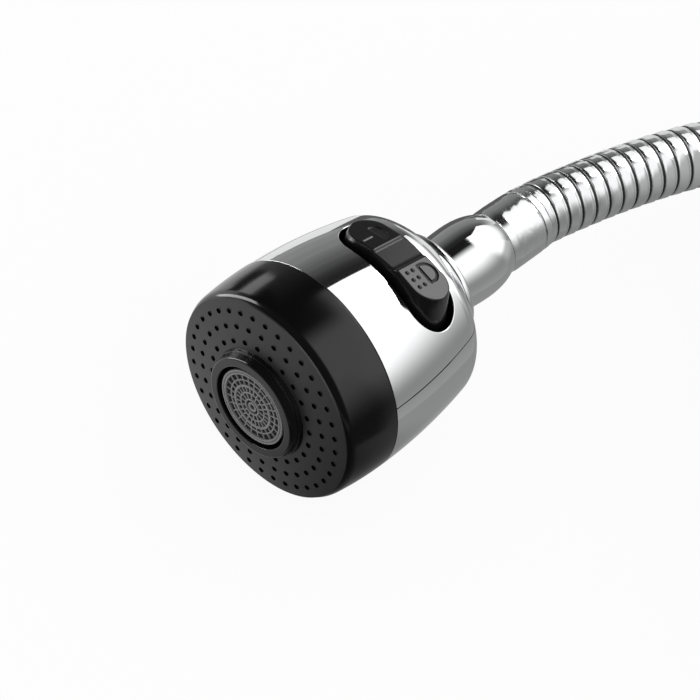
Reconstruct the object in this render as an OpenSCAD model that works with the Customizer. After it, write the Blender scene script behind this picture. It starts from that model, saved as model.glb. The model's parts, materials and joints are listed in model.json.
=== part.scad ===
// Handheld bath sprayer: a two-mode spray head on a metal hose, in millimetres.
// The head lies along Y with its spray face toward -Y and its rocker switch on top.
// Names that end in _t are distances along the head's axis from a plane just ahead of the nozzle.

/* [Head shell] */
// Largest diameter of the head
head_d = 55; // [54:0.5:60]
// Place of the largest diameter along the axis
crest_t = 18.5; // [17:0.5:20]
// Lengthwise curve radius of the chrome side
side_curve = 135; // [120:1:180]
// Wall of the chrome shell
shell_wall = 2; // [1.6:0.1:2.4]
// Place where the side turns into the shoulder
shoulder_t = 48; // [47:0.5:49]
// Place of the shoulder's corner point
corner_t = 53.2; // [52.5:0.1:54]
// Diameter at the shoulder's corner point
corner_d = 46.3; // [45.5:0.1:47.5]
// Rear end of the shell
shell_end_t = 57.5; // [57:0.5:60]
// Diameter of the shell's rear end
shell_end_d = 26; // [25.4:0.2:27]
// Thickness of the shell's rear flange
rear_flange = 2; // [1.5:0.1:2.5]
// Height of the parting seam above the axis
seam_h = 13.7; // [13.5:0.1:14.5]
// Open line between neighbouring casings
joint_gap = 0.1; // [0.05:0.05:0.3]

/* [Bezel and spray plate] */
// Front end of the black bezel
bezel_t = 5.5; // [5.2:0.1:6]
// Length of the bezel
bezel_l = 14.3; // [13.5:0.1:15.5]
// Lengthwise curve radius of the bezel
bezel_curve = 61; // [55:1:80]
// Wall of the bezel at its front
bezel_wall = 1.65; // [1.4:0.05:1.8]
// Depth of the shell's tongue below the largest radius
tongue_drop = 2.2; // [1.8:0.1:2.6]
// Length of the shell's tongue inside the bezel
tongue_l = 5.1; // [4.8:0.1:6]
// Step from the bezel's edge in to the plate's rim
plate_inset = 0.3; // [0.1:0.1:0.6]
// Curve radius of the domed plate
plate_crown = 163; // [140:1:220]
// Place of the outer hole row on the plate's front
plate_row_t = 4.5; // [4.4:0.1:4.7]
// Thickness of the plate at the outer hole row
plate_web = 1.5; // [1.2:0.1:1.8]
// Depth of the plate's fixing rings
plate_depth = 2.9; // [2.6:0.1:3.3]
// Distance from the plate's rim in to the outer hole row
row_inset = 3; // [2.6:0.1:3.4]
// Distance from the nozzle's flange out to the inner hole row
inner_row_gap = 2.16; // [1.8:0.02:2.6]
// Number of hole rows
row_count = 3; // [2:1:3]
// Holes in the outer row
outer_row_holes = 36; // [24:6:42]
// Holes fewer in each row further in
row_holes_less = 6; // [4:1:8]
// Diameter of a spray hole
spray_hole_d = 1.2; // [0.8:0.1:1.5]
// Turn of the hole rows from the top
hole_phase = -7.4; // [-20:0.2:20]
// Thickness of the plate's gasket
gasket_th = 0.8; // [0.6:0.1:1.2]

/* [Aerator] */
// Place of the nozzle's front face along the axis
nozzle_t = 1; // [0.8:0.1:1.2]
// Diameter of the nozzle ring
nozzle_d = 25; // [24.6:0.1:26]
// Diameter of the nozzle's mouth
mouth_d = 21.4; // [20.6:0.1:21.6]
// Depth of the lip around the mouth
mouth_lip = 1.3; // [1:0.1:1.8]
// Diameter of the nozzle's flange
nozzle_flange_d = 26.8; // [26:0.1:27.4]
// Thickness of the nozzle's flange
nozzle_flange_th = 1; // [0.8:0.1:1.4]
// Outside diameter of the nozzle's thread
nozzle_thread_d = 24; // [23.6:0.1:24.2]
// Wall of the threaded nozzle
nozzle_wall = 1; // [0.8:0.1:1.2]
// Overall length of the nozzle
nozzle_l = 8.5; // [8.2:0.1:8.8]
// Diameter of the insert's visible face
insert_face_d = 19.4; // [18.6:0.1:20]
// Length of the insert
insert_l = 6.4; // [6:0.1:6.6]
// Depth of the ribs on the insert's face
insert_rib_depth = 0.9; // [0.6:0.1:1]
// Width of the insert's ribs and rings
insert_rib_w = 0.4; // [0.3:0.05:0.5]
// Radial ribs on the insert's face
insert_ribs = 24; // [12:2:30]
// Thickness of the insert's screen
screen_th = 0.5; // [0.4:0.1:0.6]
// Thickness of the nozzle's washer
nozzle_washer_th = 2.2; // [2:0.1:2.6]

/* [Rocker switch] */
// Place of the rocker along the axis
rocker_t = 40.1; // [39.6:0.1:40.4]
// Height of the rocker's pivot above the axis
pivot_h = 17.6; // [17.2:0.1:18]
// Tilt to either side of level
rocker_tilt = 9; // [6:0.5:9]
// Height of the rocker's top above its pivot when level
rocker_rise = 10.6; // [10:0.1:11]
// Slope of the two paddles
pad_slope = 13.5; // [10:0.5:15]
// Lean of the top toward the neck
top_lean = 10; // [6:0.5:12]
// Width of the recessed middle strip
strip_w = 7.2; // [6:0.2:8]
// Depth of the recessed middle strip
strip_depth = 0.6; // [0.4:0.1:0.8]
// Length of the rocker at its foot
rocker_l = 30.8; // [30:0.2:31.2]
// Width of the rocker at its foot
rocker_w = 11.8; // [11.4:0.1:12]
// Depth of the rocker's skirt below the pivot
skirt_depth = 2.4; // [2:0.1:2.6]
// Wall of the rocker's skirt
skirt_wall = 1.2; // [1:0.1:1.3]
// Room between rocker and pocket at each end
pocket_end_gap = 1.3; // [1:0.1:1.6]
// Room between rocker and pocket at each side
pocket_side_gap = 0.6; // [0.5:0.1:0.8]
// Diameter of the rocker's pivot ball
ball_d = 6.2; // [6:0.1:6.4]
// Diameter of the pivot pin
pin_d = 2.5; // [2:0.1:2.6]
// Diameter of the rocker's lever
lever_d = 2; // [1.8:0.1:2.1]
// Diameter of the lever's tip
lever_tip_d = 3.2; // [3:0.1:3.4]

/* [Diverter valve] */
// Height of the valve barrel above the axis
barrel_h = 3; // [2.6:0.1:3.4]
// Bore of the valve barrel
barrel_bore = 10; // [9.6:0.1:10.2]
// Wall of the valve barrel
barrel_wall = 2; // [1.6:0.1:2.2]
// Length of the valve barrel
barrel_l = 28; // [27:0.5:29]
// Room between the spool and a plug at the end of its travel
spool_end_gap = 0.6; // [0.4:0.1:1]
// Width of each of the spool's lands
land_w = 4.6; // [4.2:0.1:4.8]
// Diameter of the spool's waist
waist_d = 5.2; // [5:0.1:5.4]
// Distance of each water duct from the middle
duct_x = 6; // [5.6:0.1:6.4]
// Bore of the water ducts
duct_bore = 5; // [4:0.2:5.2]
// Wall of the ducts, plugs and covers inside
inner_wall = 1.5; // [1.2:0.1:1.8]
// Thickness of the manifold's web
manifold_web = 2.5; // [2:0.1:2.6]
// Thickness of the valve's front flange
valve_flange = 3.3; // [3:0.1:3.6]
// Length of each plug inside the barrel
plug_l = 2.5; // [2:0.1:3]
// Length of the inlet strainer
strainer_l = 6; // [5:0.1:7]
// Distance from the strainer to the swivel stem
strainer_gap = 2; // [1.5:0.1:3]

/* [Neck and swivel] */
// Diameter of the neck
neck_d = 19.8; // [19.4:0.1:20.4]
// Length of the neck's straight part
neck_straight = 15.3; // [14.5:0.1:17]
// Length of the neck's bell
bell_l = 8; // [6:0.5:10]
// Diameter of the bell's mouth
bell_d = 17; // [16.6:0.1:17.6]
// Diameter of the trim ring
trim_d = 24.6; // [24:0.1:25.4]
// Width of the trim ring
trim_w = 1.7; // [1.4:0.1:2.2]
// Outside diameter of the threaded inlet tube
inlet_d = 16.2; // [16:0.1:16.4]
// Bore of the inlet tube
inlet_bore = 11.16; // [11:0.02:11.4]
// Length of the inlet tube behind the shell
inlet_l = 10.5; // [10:0.1:11]
// Outside diameter of the swivel stem
stem_d = 11; // [10.8:0.02:11]
// Waterway through the stem
stem_bore = 7; // [6:0.2:7.4]
// Thickness of the stem's flange
stem_flange = 2.6; // [2.2:0.1:2.8]
// Thickness of the front thrust washer
thrust_th = 2.3; // [2:0.1:2.6]
// Thickness of the rear slip washer
slip_th = 0.9; // [0.7:0.1:1.1]
// Distance that the stem reaches into the inlet tube
stem_reach = 10; // [9.5:0.1:10.5]

/* [Hose] */
// Outside diameter of the hose
hose_d = 16; // [15.6:0.1:16]
// Length of the hose
hose_l = 1500; // [1450:10:1550]
// Diameter of the hose's coil at the middle of its turns
coil_d = 166; // [160:1:172]
// Diameter of the crimped ferrules
ferrule_d = 16.8; // [16.6:0.1:17]
// Length of the crimped ferrules
ferrule_l = 10.7; // [10:0.1:12]
// Width of the strap that ties the coil
tie_w = 14; // [10:1:20]
// Thickness of the strap
tie_th = 1.2; // [1:0.1:1.6]
// Diameter of the hose nut
nut_d = 24; // [23.6:0.1:24.6]
// Length of the hose nut
nut_l = 16; // [15:0.5:18]
// Diameter of the nut's thread bore
nut_bore = 18.8; // [18.6:0.1:19]
// Grip flutes around the nut
nut_flutes = 12; // [8:1:16]
// Thickness of the nut's washer
nut_washer_th = 2; // [1.8:0.1:2.4]

/* [Fasteners] */
// Shank diameter of the screws
screw_d = 2.4; // [2:0.1:2.6]
// Head diameter of the screws
screw_head_d = 4.4; // [4:0.1:4.8]
// Head height of the screws
screw_head_h = 0.9; // [0.7:0.1:1]

/* [Hidden] */
$fn = 72;
// Clearances: push fit, running fit, loose fit and the overlap of a cut
fit = 0.1;
run = 0.08;
loose = 0.2;
cut = 1;

axis_z = head_d / 2;
shell_t = bezel_t + bezel_l + joint_gap;
tongue_t = shell_t - tongue_l;
tongue_r = head_d / 2 - tongue_drop;
bezel_front_r = bezel_r(bezel_t);
bezel_in_r = bezel_front_r - bezel_wall;

// Lengthwise outline of the bezel and of the chrome side, as radius at a place t
function bezel_r(t) = head_d / 2 - pow(crest_t - t, 2) / (2 * bezel_curve);
function side_r(t) = head_d / 2 - pow(t - crest_t, 2) / (2 * side_curve);
function bend(a, b, c, u) = a * pow(1 - u, 2) + 2 * b * u * (1 - u) + c * pow(u, 2);
function span(a, b, n) = [for (i = [0:n]) a + (b - a) * i / n];

// Spray plate
plate_r = bezel_front_r - plate_inset;
outer_row_r = plate_r - row_inset;
inner_row_r = nozzle_flange_d / 2 + inner_row_gap;
row_step = (outer_row_r - inner_row_r) / (row_count - 1);
function plate_t(r) = plate_row_t - (pow(outer_row_r, 2) - pow(r, 2)) / (2 * plate_crown);
plate_seat_r = nozzle_flange_d / 2 + loose;
plate_seat_t = plate_t(plate_seat_r);
plate_hole_r = nozzle_thread_d / 2 + loose;
plate_back_t = plate_row_t + plate_depth;
row_margin = spray_hole_d / 2 + 0.3;

// Nozzle stack: insert, screen and washer between the mouth's lip and the manifold
insert_r = nozzle_thread_d / 2 - nozzle_wall - fit;
insert_face_r = insert_face_d / 2;
insert_t = nozzle_t + 0.1;
lip_back_t = nozzle_t + mouth_lip;
screen_t = insert_t + insert_l;
washer_t = screen_t + screen_th;
seat_t = washer_t + nozzle_washer_th;

// Manifold
boss_in_r = nozzle_thread_d / 2 + fit;
boss_out_r = boss_in_r + inner_wall + 0.8;
rim_r = bezel_in_r - fit;
rim_in_r = rim_r - 1.7;
rim_t = plate_back_t + gasket_th;
web_back_t = tongue_t - fit;
web_t = web_back_t - manifold_web;
skirt_r = tongue_r - shell_wall - fit;
skirt_in_r = skirt_r - 2;
skirt_end_t = shell_t + 1;
shower_port_r = (boss_out_r + skirt_in_r - duct_bore / 2) / 2 + 0.2;
manifold_screw_r = (boss_out_r + skirt_in_r) / 2 + 0.5;

// Rocker and pocket
pocket_l = rocker_l + 2 * pocket_end_gap;
pocket_w = rocker_w + 2 * pocket_side_gap;
pivot_z = axis_z + pivot_h;
lever_l = pivot_h - barrel_h;
spool_shift = lever_l * sin(rocker_tilt);
turret_r = rocker_w / 2 - skirt_wall - 0.2;
turret_rise = 1.6;
ball_bore_r = ball_d / 2 + fit;
seal_drop = 2.6;
seal_wire = 1;
ledge_drop = seal_drop + seal_wire / 2 + fit;

// Valve
barrel_r = barrel_bore / 2 + barrel_wall;
flange_back_t = web_back_t + valve_flange;
duct_r = duct_bore / 2 + inner_wall;
inlet_end_t = shell_end_t + inlet_l;
sleeve_t = shell_end_t + trim_w;
plug_seal_th = 0.8;
land_end = barrel_l / 2 - plug_l - spool_shift - spool_end_gap;
strainer_t = inlet_end_t - stem_reach - strainer_gap - strainer_l;

// Swivel
stem_r = stem_d / 2;
stem_tail_r = stem_r + 0.4;
stem_t = inlet_end_t - stem_reach;
stem_flange_t = inlet_end_t + thrust_th + fit;
slip_t = stem_flange_t + stem_flange + fit;
lip_t = slip_t + slip_th;
neck_end_t = sleeve_t + neck_straight + bell_l;
sleeve_bore_r = inlet_d / 2 + fit;
ferrule_t = neck_end_t + 0.3;
hose_t = ferrule_t + ferrule_l;

// The origin lies under the middle of the head and neck
mid_t = neck_end_t / 2;
function y_at(t) = t - mid_t;

// Free stretch of the hose, from the ferrule down to the coil
hose_r = hose_d / 2;
hose_exit = [0, y_at(hose_t), axis_z];
hose_route = [
    hose_exit,
    [0, 54.5, 27.5], [0.15, 58.5, 27.5], [0.95, 65, 27.5], [2.95, 75, 27.5], [5.45, 85, 27.5],
    [8.35, 95, 27.5], [11.7, 105, 27.3], [17.1, 118, 26.5], [23.4, 130.5, 24.3],
    [30.7, 142.5, 21.2], [38.8, 154, 17.6], [47.6, 164.9, 14.1], [57, 175.4, 11],
    [67.1, 185.3, 8.8], [77.6, 194.6, 8]
];

// Coil: it starts where the route ends, turns clockwise, climbs a diameter each turn and ends straight
coil_centre = [131, 131];
coil_start = 50;
climb_from = 245;
climb_over = 80;
end_lift = (nut_d - hose_d) / 2 + 0.4;
end_lift_over = 45;
straight_l = 35;
function reach(p, i = 0) = i + 1 < len(p) ? norm(p[i + 1] - p[i]) + reach(p, i + 1) : 0;
coil_r = coil_d / 2;
coil_turn = (hose_l - reach(hose_route)) / coil_r * 180 / PI;
straight_from = coil_turn - straight_l / coil_r * 180 / PI;
end_bearing = coil_start + straight_from;
function ease(u) = let (v = min(max(u, 0), 1)) v * v * (3 - 2 * v);
function layer(a) = ease((a - climb_from) / climb_over) + ease((a - climb_from - 360) / climb_over);
function coil_z(a) = hose_r + hose_d * layer(a)
    + end_lift * ease((a - coil_turn + end_lift_over) / end_lift_over);
function coil_at(a) =
    let (bearing = coil_start + min(a, straight_from),
        past = max(a - straight_from, 0) * PI / 180)
    [
        coil_centre.x - coil_r * (cos(bearing) - past * sin(bearing)),
        coil_centre.y + coil_r * (sin(bearing) + past * cos(bearing)),
        coil_z(a)
    ];
tail_from = climb_from + 360;
tail_route = concat([for (a = span(tail_from, coil_turn - 0.5, 24)) coil_at(a)], [coil_at(coil_turn)]);
tube_sides = 12;

// Pieces at the hose's far end, measured along it from the end of the hose
stub_r = 4.9;
stub_flange_r = nut_bore / 2 - 0.4;
nut_start = 13;
nut_shoulder = 3.8;
nut_relief = nut_bore / 2 + 0.4;
stub_flange_z = nut_start + nut_shoulder + fit;
stub_flange_th = 2;
nut_washer_z = stub_flange_z + stub_flange_th + fit;
nut_relief_end = nut_washer_z + nut_washer_th + fit;

// Places its children with their local Z along the head's axis, from the nozzle's face
module on_axis() {
    translate([0, y_at(0), axis_z]) rotate([-90, 0, 0]) children();
}

// Turns an outline of [radius, place] points around the head's axis
module lathe(outline) {
    on_axis() rotate_extrude() polygon(outline);
}

// A plain ring around the local Z axis
module ring(r_out, r_in, z, h) {
    translate([0, 0, z]) difference() {
        cylinder(r = r_out, h = h);
        translate([0, 0, -cut]) cylinder(r = r_in, h = h + 2 * cut);
    }
}

// A round rubber ring around the local Z axis
module o_ring(mean_r, wire_d, z) {
    translate([0, 0, z]) rotate_extrude() translate([mean_r, 0]) circle(d = wire_d, $fn = 32);
}

// Points local X at a clock angle around the axis, with 0 at the top and 90 toward +X
module clock(angle) {
    rotate([0, 0, angle - 90]) children();
}

// Places its children at the pivot, turned to the rest tilt with the left paddle down
module at_pivot() {
    translate([0, y_at(rocker_t), pivot_z]) rotate([0, -rocker_tilt, 0]) children();
}

// Places its children on the valve barrel with their local Z along +X
module on_barrel() {
    translate([0, y_at(rocker_t), axis_z + barrel_h]) rotate([0, 90, 0]) children();
}

// Places its children at the hose's far end with their local Z along the hose
module at_hose_end() {
    translate(coil_at(coil_turn)) rotate([-90, 0, -end_bearing]) children();
}

// Screw with its head above local z = 0 and its shank below
module screw(shank_l) {
    cylinder(d = screw_head_d, h = screw_head_h);
    translate([0, 0, -shank_l]) cylinder(d = screw_d, h = shank_l + screw_head_h / 2);
}

module front_bezel() {
    color("#141416") lathe(concat(
        [for (t = span(bezel_t, bezel_t + bezel_l, 10)) [bezel_r(t), t]],
        [
            [tongue_r + fit, bezel_t + bezel_l], [tongue_r + fit, tongue_t],
            [bezel_in_r, tongue_t], [bezel_in_r, bezel_t]
        ]
    ));
}

module spray_plate() {
    rim_back_t = bezel_t - joint_gap;
    recess_t = plate_row_t + plate_web;
    color("#464648") difference() {
        lathe(concat(
            [[plate_hole_r, plate_seat_t]],
            [for (r = span(plate_seat_r, plate_r, 10)) [r, plate_t(r)]],
            [
                [plate_r, rim_back_t], [rim_r, rim_back_t], [rim_r, plate_back_t],
                [outer_row_r + row_margin, plate_back_t], [outer_row_r + row_margin, recess_t],
                [inner_row_r - row_margin, recess_t], [inner_row_r - row_margin, plate_back_t],
                [plate_hole_r, plate_back_t]
            ]
        ));
        on_axis() for (row = [0:row_count - 1]) {
            holes = outer_row_holes - row * row_holes_less;
            for (i = [0:holes - 1]) clock(hole_phase + i * 360 / holes)
                translate([outer_row_r - row * row_step, 0, 0])
                    cylinder(d = spray_hole_d, h = plate_back_t, $fn = 24);
        }
    }
}

module plate_gasket() {
    color("#202020") on_axis() ring(rim_r - fit, rim_in_r + fit, plate_back_t, gasket_th);
}

module aerator_housing() {
    edge = 0.4;
    bore_r = nozzle_thread_d / 2 - nozzle_wall;
    color("#0d0d0e") lathe([
        [mouth_d / 2, nozzle_t], [nozzle_d / 2 - edge, nozzle_t], [nozzle_d / 2, nozzle_t + edge],
        [nozzle_d / 2, plate_seat_t - nozzle_flange_th],
        [nozzle_flange_d / 2, plate_seat_t - nozzle_flange_th], [nozzle_flange_d / 2, plate_seat_t],
        [nozzle_thread_d / 2, plate_seat_t], [nozzle_thread_d / 2, nozzle_t + nozzle_l],
        [bore_r, nozzle_t + nozzle_l], [bore_r, lip_back_t], [mouth_d / 2, lip_back_t]
    ]);
}

module aerator_insert() {
    ring_shares = [0.23, 0.42, 0.6, 0.76];
    cup_r = insert_r - inner_wall;
    deck_t = insert_t + insert_rib_depth;
    shank_t = lip_back_t + fit;
    color("#9a9a98") on_axis() difference() {
        union() {
            translate([0, 0, shank_t]) cylinder(r = insert_r, h = screen_t - shank_t);
            translate([0, 0, deck_t]) cylinder(r = insert_face_r, h = mouth_lip);
            ring(insert_face_r, insert_face_r - insert_rib_w * 2, insert_t, mouth_lip);
            for (share = ring_shares)
                ring(insert_face_r * share + insert_rib_w / 2, insert_face_r * share - insert_rib_w / 2,
                    insert_t, mouth_lip);
            for (i = [0:insert_ribs - 1]) clock(i * 360 / insert_ribs)
                translate([insert_face_r * ring_shares[1], -insert_rib_w / 2, insert_t])
                    cube([insert_face_r * (1 - ring_shares[1]) - insert_rib_w, insert_rib_w, mouth_lip]);
        }
        translate([0, 0, deck_t + 1.6]) cylinder(r = cup_r, h = insert_l);
    }
}

module aerator_screen() {
    mesh_d = 1.8;
    mesh_step = 3;
    color("#b5b7b9") on_axis() difference() {
        translate([0, 0, screen_t]) cylinder(r = insert_r, h = screen_th);
        for (k = [1:2], i = [0:6 * k - 1]) clock(i * 60 / k)
            translate([k * mesh_step, 0, 0]) cylinder(d = mesh_d, h = washer_t + cut, $fn = 24);
    }
}

module aerator_washer() {
    color("#252525") on_axis() ring(insert_r, insert_r - 2.9, washer_t, nozzle_washer_th);
}

module water_manifold() {
    cavity_r = insert_r - 2;
    color("#2b2d30") difference() {
        lathe([
            [0, seat_t + inner_wall], [cavity_r, seat_t + inner_wall], [cavity_r, seat_t],
            [boss_in_r, seat_t], [boss_in_r, plate_back_t + fit], [boss_out_r, plate_back_t + fit],
            [boss_out_r, web_t], [rim_in_r, web_t], [rim_in_r, rim_t], [rim_r, rim_t],
            [rim_r, web_back_t], [skirt_r, web_back_t], [skirt_r, skirt_end_t],
            [skirt_in_r, skirt_end_t], [skirt_in_r, web_back_t], [0, web_back_t]
        ]);
        on_axis() {
            translate([duct_x, -barrel_h, 0]) cylinder(d = duct_bore, h = web_back_t + cut);
            translate([-shower_port_r, -barrel_h, web_t - cut])
                cylinder(d = duct_bore - 1, h = manifold_web + 2 * cut);
            manifold_screw_places() translate([0, 0, -cut - manifold_web])
                cylinder(d = screw_d + 2 * fit, h = manifold_web + 2 * cut);
            shell_screw_places() translate([0, 0, skirt_in_r - tongue_r])
                cylinder(d = screw_d + 2 * fit, h = tongue_r - skirt_in_r);
        }
    }
}

// Screws through the manifold's web: local z = 0 under the head, shank toward the valve
module manifold_screw_places() {
    for (i = [0:2]) clock(i * 120)
        translate([manifold_screw_r, 0, web_t]) rotate([180, 0, 0]) children();
}

// Screws through the shell's tongue: local z = 0 under the head, shank toward the axis
module shell_screw_places() {
    for (angle = [-130, -30, 30, 130]) clock(angle)
        translate([tongue_r - screw_head_h - fit, 0, (tongue_t + shell_t) / 2])
            rotate([0, 90, 0]) children();
}

module manifold_screws() {
    color("#b9bcc0") on_axis() manifold_screw_places()
        screw(manifold_web + valve_flange - 0.3);
}

module shell_screws() {
    color("#b9bcc0") on_axis() shell_screw_places()
        screw(tongue_r - screw_head_h - skirt_in_r - loose);
}

// The whole chrome shell before it is parted along the seam
module shell() {
    side_end_r = side_r(shoulder_t);
    inner_end_r = shell_end_d / 2 - shell_wall;
    flange_t = shell_end_t - rear_flange;
    rear_hole_r = inlet_d / 2 + 0.3;
    step_t = shell_t + shell_wall;
    difference() {
        lathe(concat(
            [[tongue_r - shell_wall, tongue_t], [tongue_r, tongue_t], [tongue_r, shell_t]],
            [for (t = span(shell_t, shoulder_t, 12)) [side_r(t), t]],
            [for (u = span(0.1, 1, 9))
                [bend(side_end_r, corner_d / 2, shell_end_d / 2, u),
                    bend(shoulder_t, corner_t, shell_end_t, u)]],
            [[rear_hole_r, shell_end_t], [rear_hole_r, flange_t]],
            [for (u = span(1, 0, 8))
                [bend(side_end_r - shell_wall, corner_d / 2 - shell_wall, inner_end_r, u),
                    bend(shoulder_t, corner_t - shell_wall, flange_t, u)]],
            [for (t = span(shoulder_t - shell_wall, step_t, 8)) [side_r(t) - shell_wall, t]],
            [[tongue_r - shell_wall, step_t]]
        ));
        on_axis() shell_screw_places() {
            translate([0, 0, -shell_wall]) cylinder(d = screw_d + 2 * fit, h = 2 * shell_wall);
            cylinder(d = screw_head_d + 2 * fit, h = shell_wall);
        }
    }
}

// Everything above the parting seam, raised by a gap
module above_seam(gap) {
    translate([-head_d, y_at(0) - cut, axis_z + seam_h + gap])
        cube([2 * head_d, shell_end_t + 2 * cut, head_d]);
}

module main_body() {
    color("#d4d6d9") difference() {
        shell();
        above_seam(0);
    }
}

module top_cover() {
    color("#dcdee0") difference() {
        intersection() {
            shell();
            above_seam(joint_gap);
        }
        translate([0, y_at(rocker_t), axis_z]) linear_extrude(head_d) stadium(pocket_l, pocket_w);
    }
}

// Long hole outline with round ends
module stadium(l, w) {
    square([l - w, w], center = true);
    for (side = [-1, 1]) translate([side * (l - w) / 2, 0]) circle(d = w);
}

module trim_ring() {
    groove = 0.3;
    bore_r = inlet_d / 2 + loose;
    r = trim_d / 2;
    color("#d8dadd") lathe([
        [bore_r, shell_end_t], [r - groove, shell_end_t], [r, shell_end_t + groove],
        [r, shell_end_t + trim_w * 0.45], [r - groove, shell_end_t + trim_w * 0.55],
        [r - groove, shell_end_t + trim_w * 0.65], [r - groove * 3, sleeve_t], [bore_r, sleeve_t]
    ]);
}

module neck_sleeve() {
    bell_t = neck_end_t - bell_l;
    lip_r = stem_tail_r + run;
    color("#d2d4d7") lathe(concat(
        [[sleeve_bore_r, sleeve_t], [neck_d / 2, sleeve_t]],
        [for (u = span(0, 1, 8))
            [neck_d / 2 - (neck_d - bell_d) / 2 * pow(u, 2), bell_t + bell_l * u]],
        [[lip_r, neck_end_t], [lip_r, lip_t], [sleeve_bore_r, lip_t]]
    ));
}

module valve_body() {
    gallery_depth = 2;
    gallery_l = shower_port_r - duct_x + duct_bore;
    turret_top = pivot_z + turret_rise;
    barrel_z = axis_z + barrel_h;
    color("#3a3d40") difference() {
        union() {
            on_axis() {
                translate([0, 0, web_back_t]) cylinder(r = skirt_in_r - loose, h = valve_flange);
                for (side = [-1, 1]) translate([side * duct_x, -barrel_h, web_back_t])
                    cylinder(r = duct_r, h = rocker_t - web_back_t);
                translate([0, 0, rocker_t]) cylinder(d = inlet_d, h = inlet_end_t - rocker_t);
            }
            on_barrel() cylinder(r = barrel_r, h = barrel_l, center = true);
            translate([0, y_at(rocker_t), barrel_z]) cylinder(r = turret_r, h = turret_top - barrel_z);
        }
        on_barrel() cylinder(d = barrel_bore, h = barrel_l + 2 * cut, center = true);
        on_axis() {
            translate([duct_x, -barrel_h, web_back_t - cut])
                cylinder(d = duct_bore, h = rocker_t - web_back_t + cut);
            translate([-duct_x, -barrel_h, web_back_t - cut])
                cylinder(d = duct_bore, h = rocker_t - web_back_t + cut);
            translate([-shower_port_r - duct_bore / 2, -barrel_h - duct_bore / 2, web_back_t - cut])
                cube([gallery_l, duct_bore, gallery_depth + cut]);
            translate([0, 0, rocker_t]) cylinder(d = inlet_bore - 2, h = inlet_end_t - rocker_t);
            translate([0, 0, strainer_t]) cylinder(d = inlet_bore, h = inlet_end_t - strainer_t + cut);
            manifold_screw_places() translate([0, 0, -valve_flange - manifold_web - cut])
                cylinder(d = screw_d + 2 * fit, h = valve_flange + 2 * cut);
        }
        translate([0, y_at(rocker_t), pivot_z - ledge_drop]) cylinder(r = ball_bore_r, h = 2 * ledge_drop);
        translate([-ball_bore_r + loose, y_at(rocker_t) - lever_d / 2 - 0.6, barrel_z])
            cube([2 * (ball_bore_r - loose), lever_d + 1.2, lever_l]);
        translate([0, y_at(rocker_t), pivot_z]) rotate([90, 0, 0])
            cylinder(d = pin_d + fit / 2, h = 4 * turret_r, center = true);
    }
}

module barrel_plugs() {
    color("#4a4d50") on_barrel() for (side = [0, 1]) mirror([0, 0, side]) {
        translate([0, 0, barrel_l / 2 - plug_l]) cylinder(d = barrel_bore - 2 * fit, h = plug_l + inner_wall);
        translate([0, 0, barrel_l / 2 + plug_seal_th]) cylinder(r = barrel_r - 0.4, h = inner_wall);
    }
}

module plug_seals() {
    color("#1c1c1c") on_barrel() for (side = [0, 1]) mirror([0, 0, side])
        ring(barrel_r - 0.6, barrel_bore / 2 + fit, barrel_l / 2, plug_seal_th);
}

module pivot_seal() {
    color("#1c1c1c") translate([0, y_at(rocker_t), pivot_z])
        o_ring(ball_bore_r - fit - seal_wire / 2, seal_wire, -seal_drop);
}

module rocker_pin() {
    color("#c4c7ca") translate([0, y_at(rocker_t), pivot_z]) rotate([90, 0, 0])
        cylinder(d = pin_d, h = 2 * turret_r - fit, center = true);
}

module inlet_strainer() {
    rim_w = 1.2;
    thimble_r = 3.6;
    slots = 6;
    color("#c9cbcd") difference() {
        lathe([
            [thimble_r - 0.6, strainer_t + fit], [inlet_bore / 2 - fit, strainer_t + fit],
            [inlet_bore / 2 - fit, strainer_t + rim_w], [thimble_r, strainer_t + rim_w],
            [thimble_r, strainer_t + strainer_l], [0, strainer_t + strainer_l],
            [0, strainer_t + strainer_l - 0.6], [thimble_r - 0.6, strainer_t + strainer_l - 0.6]
        ]);
        on_axis() for (i = [0:slots - 1]) clock(i * 360 / slots)
            translate([0, -0.4, strainer_t + rim_w + 0.6]) cube([inlet_bore, 0.8, strainer_l - 3]);
    }
}

module thrust_washer() {
    color("#ece7d8") on_axis() ring(inlet_d / 2 - fit, stem_r + loose, inlet_end_t, thrust_th);
}

module slip_washer() {
    color("#ece7d8") on_axis() ring(sleeve_bore_r - loose, stem_tail_r + loose, slip_t, slip_th);
}

// Thin slab of the rocker's outline at a height above the pivot
module rocker_slab(l, w, z) {
    translate([0, 0, z]) linear_extrude(0.02) stadium(l, w, $fn = 32);
}

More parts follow.
